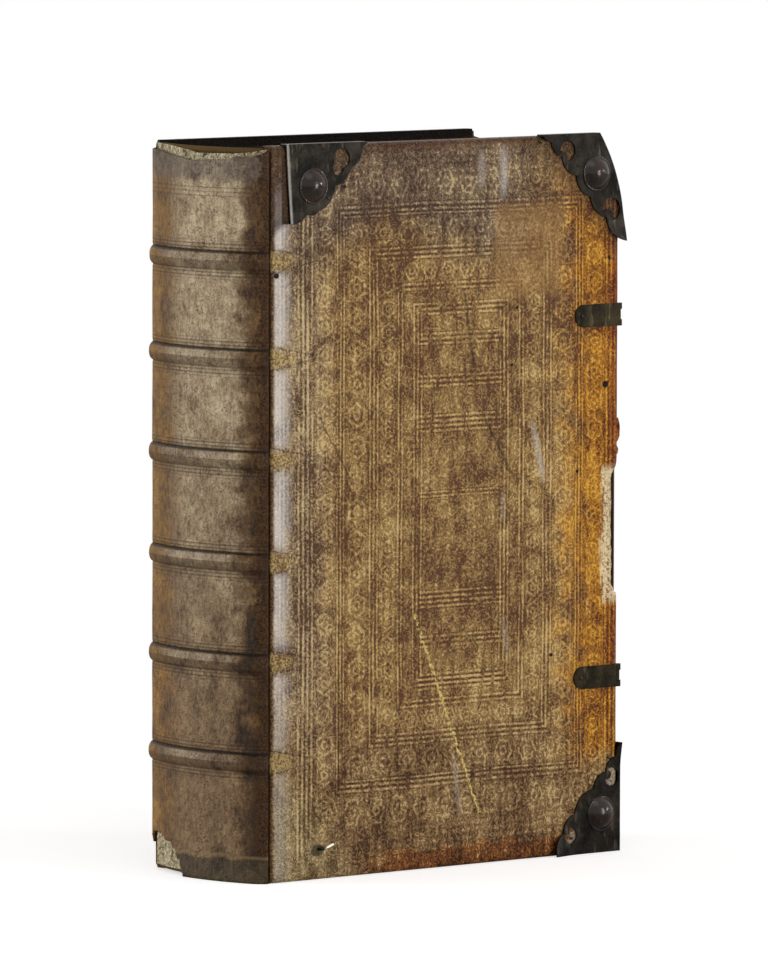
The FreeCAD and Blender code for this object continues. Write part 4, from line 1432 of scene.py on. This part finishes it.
# %% Nails of the plates
def nail_head(x, z, y, radius, rise):
    """A small domed head that sits on a plate."""
    head = bmesh.new()
    points = [(radius, 0.0), (radius, rise * 0.25)]
    for angle in (0.4, 0.8, 1.2, math.pi / 2.0):
        points.append((radius * math.cos(angle), rise * (0.25 + 0.75 * math.sin(angle))))
    verts = [head.verts.new((x + r, y - up, z)) for r, up in points]
    edges = [head.edges.new(pair) for pair in zip(verts, verts[1:])]
    bmesh.ops.spin(head, geom=verts + edges, cent=(x, y, z), axis=(0.0, 1.0, 0.0), angle=2.0 * math.pi,
                   steps=14, use_merge=True)
    bmesh.ops.remove_doubles(head, verts=head.verts, dist=0.005)
    bmesh.ops.holes_fill(head, edges=[edge for edge in head.edges if edge.is_boundary], sides=0)
    bmesh.ops.recalc_face_normals(head, faces=head.faces)
    return head


plate_top = -half - 1.0
nail_spots = [(36.5, 352.5), (47.5, 358.0), (width - 56.0, 377.2), (width - 6.5, 328.0), (width - 33.0, 9.0),
              (width - 7.0, 50.0)]
small_nails = joined([nail_head(x, z, plate_top, 0.9, 0.55) for x, z in nail_spots])
make_piece("plate_nails", small_nails, boss_finish, "front_cover", "boss_brass")
rivets = joined([nail_head(width - 27.0, z, plate_top, 0.9, 0.6) for z in clasps])
make_piece("clasp_rivets", rivets, boss_finish, "front_cover", "clasp_brass")

# %% [markdown]
# Where the openings of the head corner's plate reach past the worn board, a tongue of leather was
# left standing under the brass. Below it the fore-edge has scabs of leather that stick out.

# %% Leather tongue and flakes
def ragged_flake(x, z, reach_x, reach_z, y, seed):
    """A thin scrap of leather with a torn outline."""
    flake = bmesh.new()
    bmesh.ops.create_circle(flake, cap_ends=True, segments=18, radius=1.0)
    for vert in flake.verts:
        torn = 1.0 + 0.28 * cloud(vert.co.x * 3.0, vert.co.y * 3.0, seed, 1.0)
        bend_back = 0.5 * vert.co.x * vert.co.x
        vert.co = Vector((x + vert.co.x * reach_x * torn, y + bend_back, z + vert.co.y * reach_z * torn))
    bmesh.ops.solidify(flake, geom=flake.faces[:], thickness=0.7)
    bmesh.ops.recalc_face_normals(flake, faces=flake.faces)
    return flake


flakes = joined([ragged_flake(width - 4.2, 343.0, 5.6, 8.0, -half + 0.4, 1.0),
                 ragged_flake(width - 0.6, 224.0, 2.4, 6.0, -half + 1.2, 2.0),
                 ragged_flake(width - 1.6, 213.0, 2.2, 2.6, -half + 1.3, 5.0),
                 ragged_flake(width - 2.4, 208.5, 2.0, 1.8, -half + 1.3, 7.0),
                 ragged_flake(width - 4.4, 132.0, 3.2, 6.5, -half + 0.8, 9.0)])
make_piece("leather_flakes", flakes, front_finish, "front_cover", "front_leather")

# %% [markdown]
# The two short plates at the fore-edge held the clasps. Their rounded ends are fixed by one small
# rivet each. Pins of iron wire still run through their barrels.

# %% Clasp plates, pins and nail
clasp_finish = metal_finish("tarnished clasp brass", tone(20, 16, 8), tone(56, 48, 30), tone(100, 92, 66),
                            0.30, gloss=0.2)
for name in ("upper_clasp_plate", "lower_clasp_plate"):
    plate = copy_in_mm(name)
    bevelled(make_piece(name.replace("clasp", "filed_clasp"), plate, clasp_finish, "front_cover",
                        "clasp_brass", name, smooth=False), 0.35, rubbed_edge_highlight_finish)
pin_finish = metal_finish("worn iron wire", tone(58, 54, 50), tone(112, 106, 98), tone(140, 132, 120), 0.4)
dress(["upper_clasp_pin", "lower_clasp_pin"], pin_finish)
nail = Finish("bent nail brass")
nail_grain = nail.noise(0.8, 2.0, 0.6, 2.0)
# The nail is dark green-black, and lighter past 33 mm as a painted highlight on its bent end.
nail_colour_with_painted_tip = nail.mix((nail.x + nail_grain * 2.0).rise(33.0, 36.5), tone(20, 22, 8), tone(236, 228, 200))
dress(["bent_nail"], nail.use(colour=nail_colour_with_painted_tip, roughness=0.3 + nail_grain * 0.2, metal=0.6,
                              bump=nail_grain, depth=0.1))
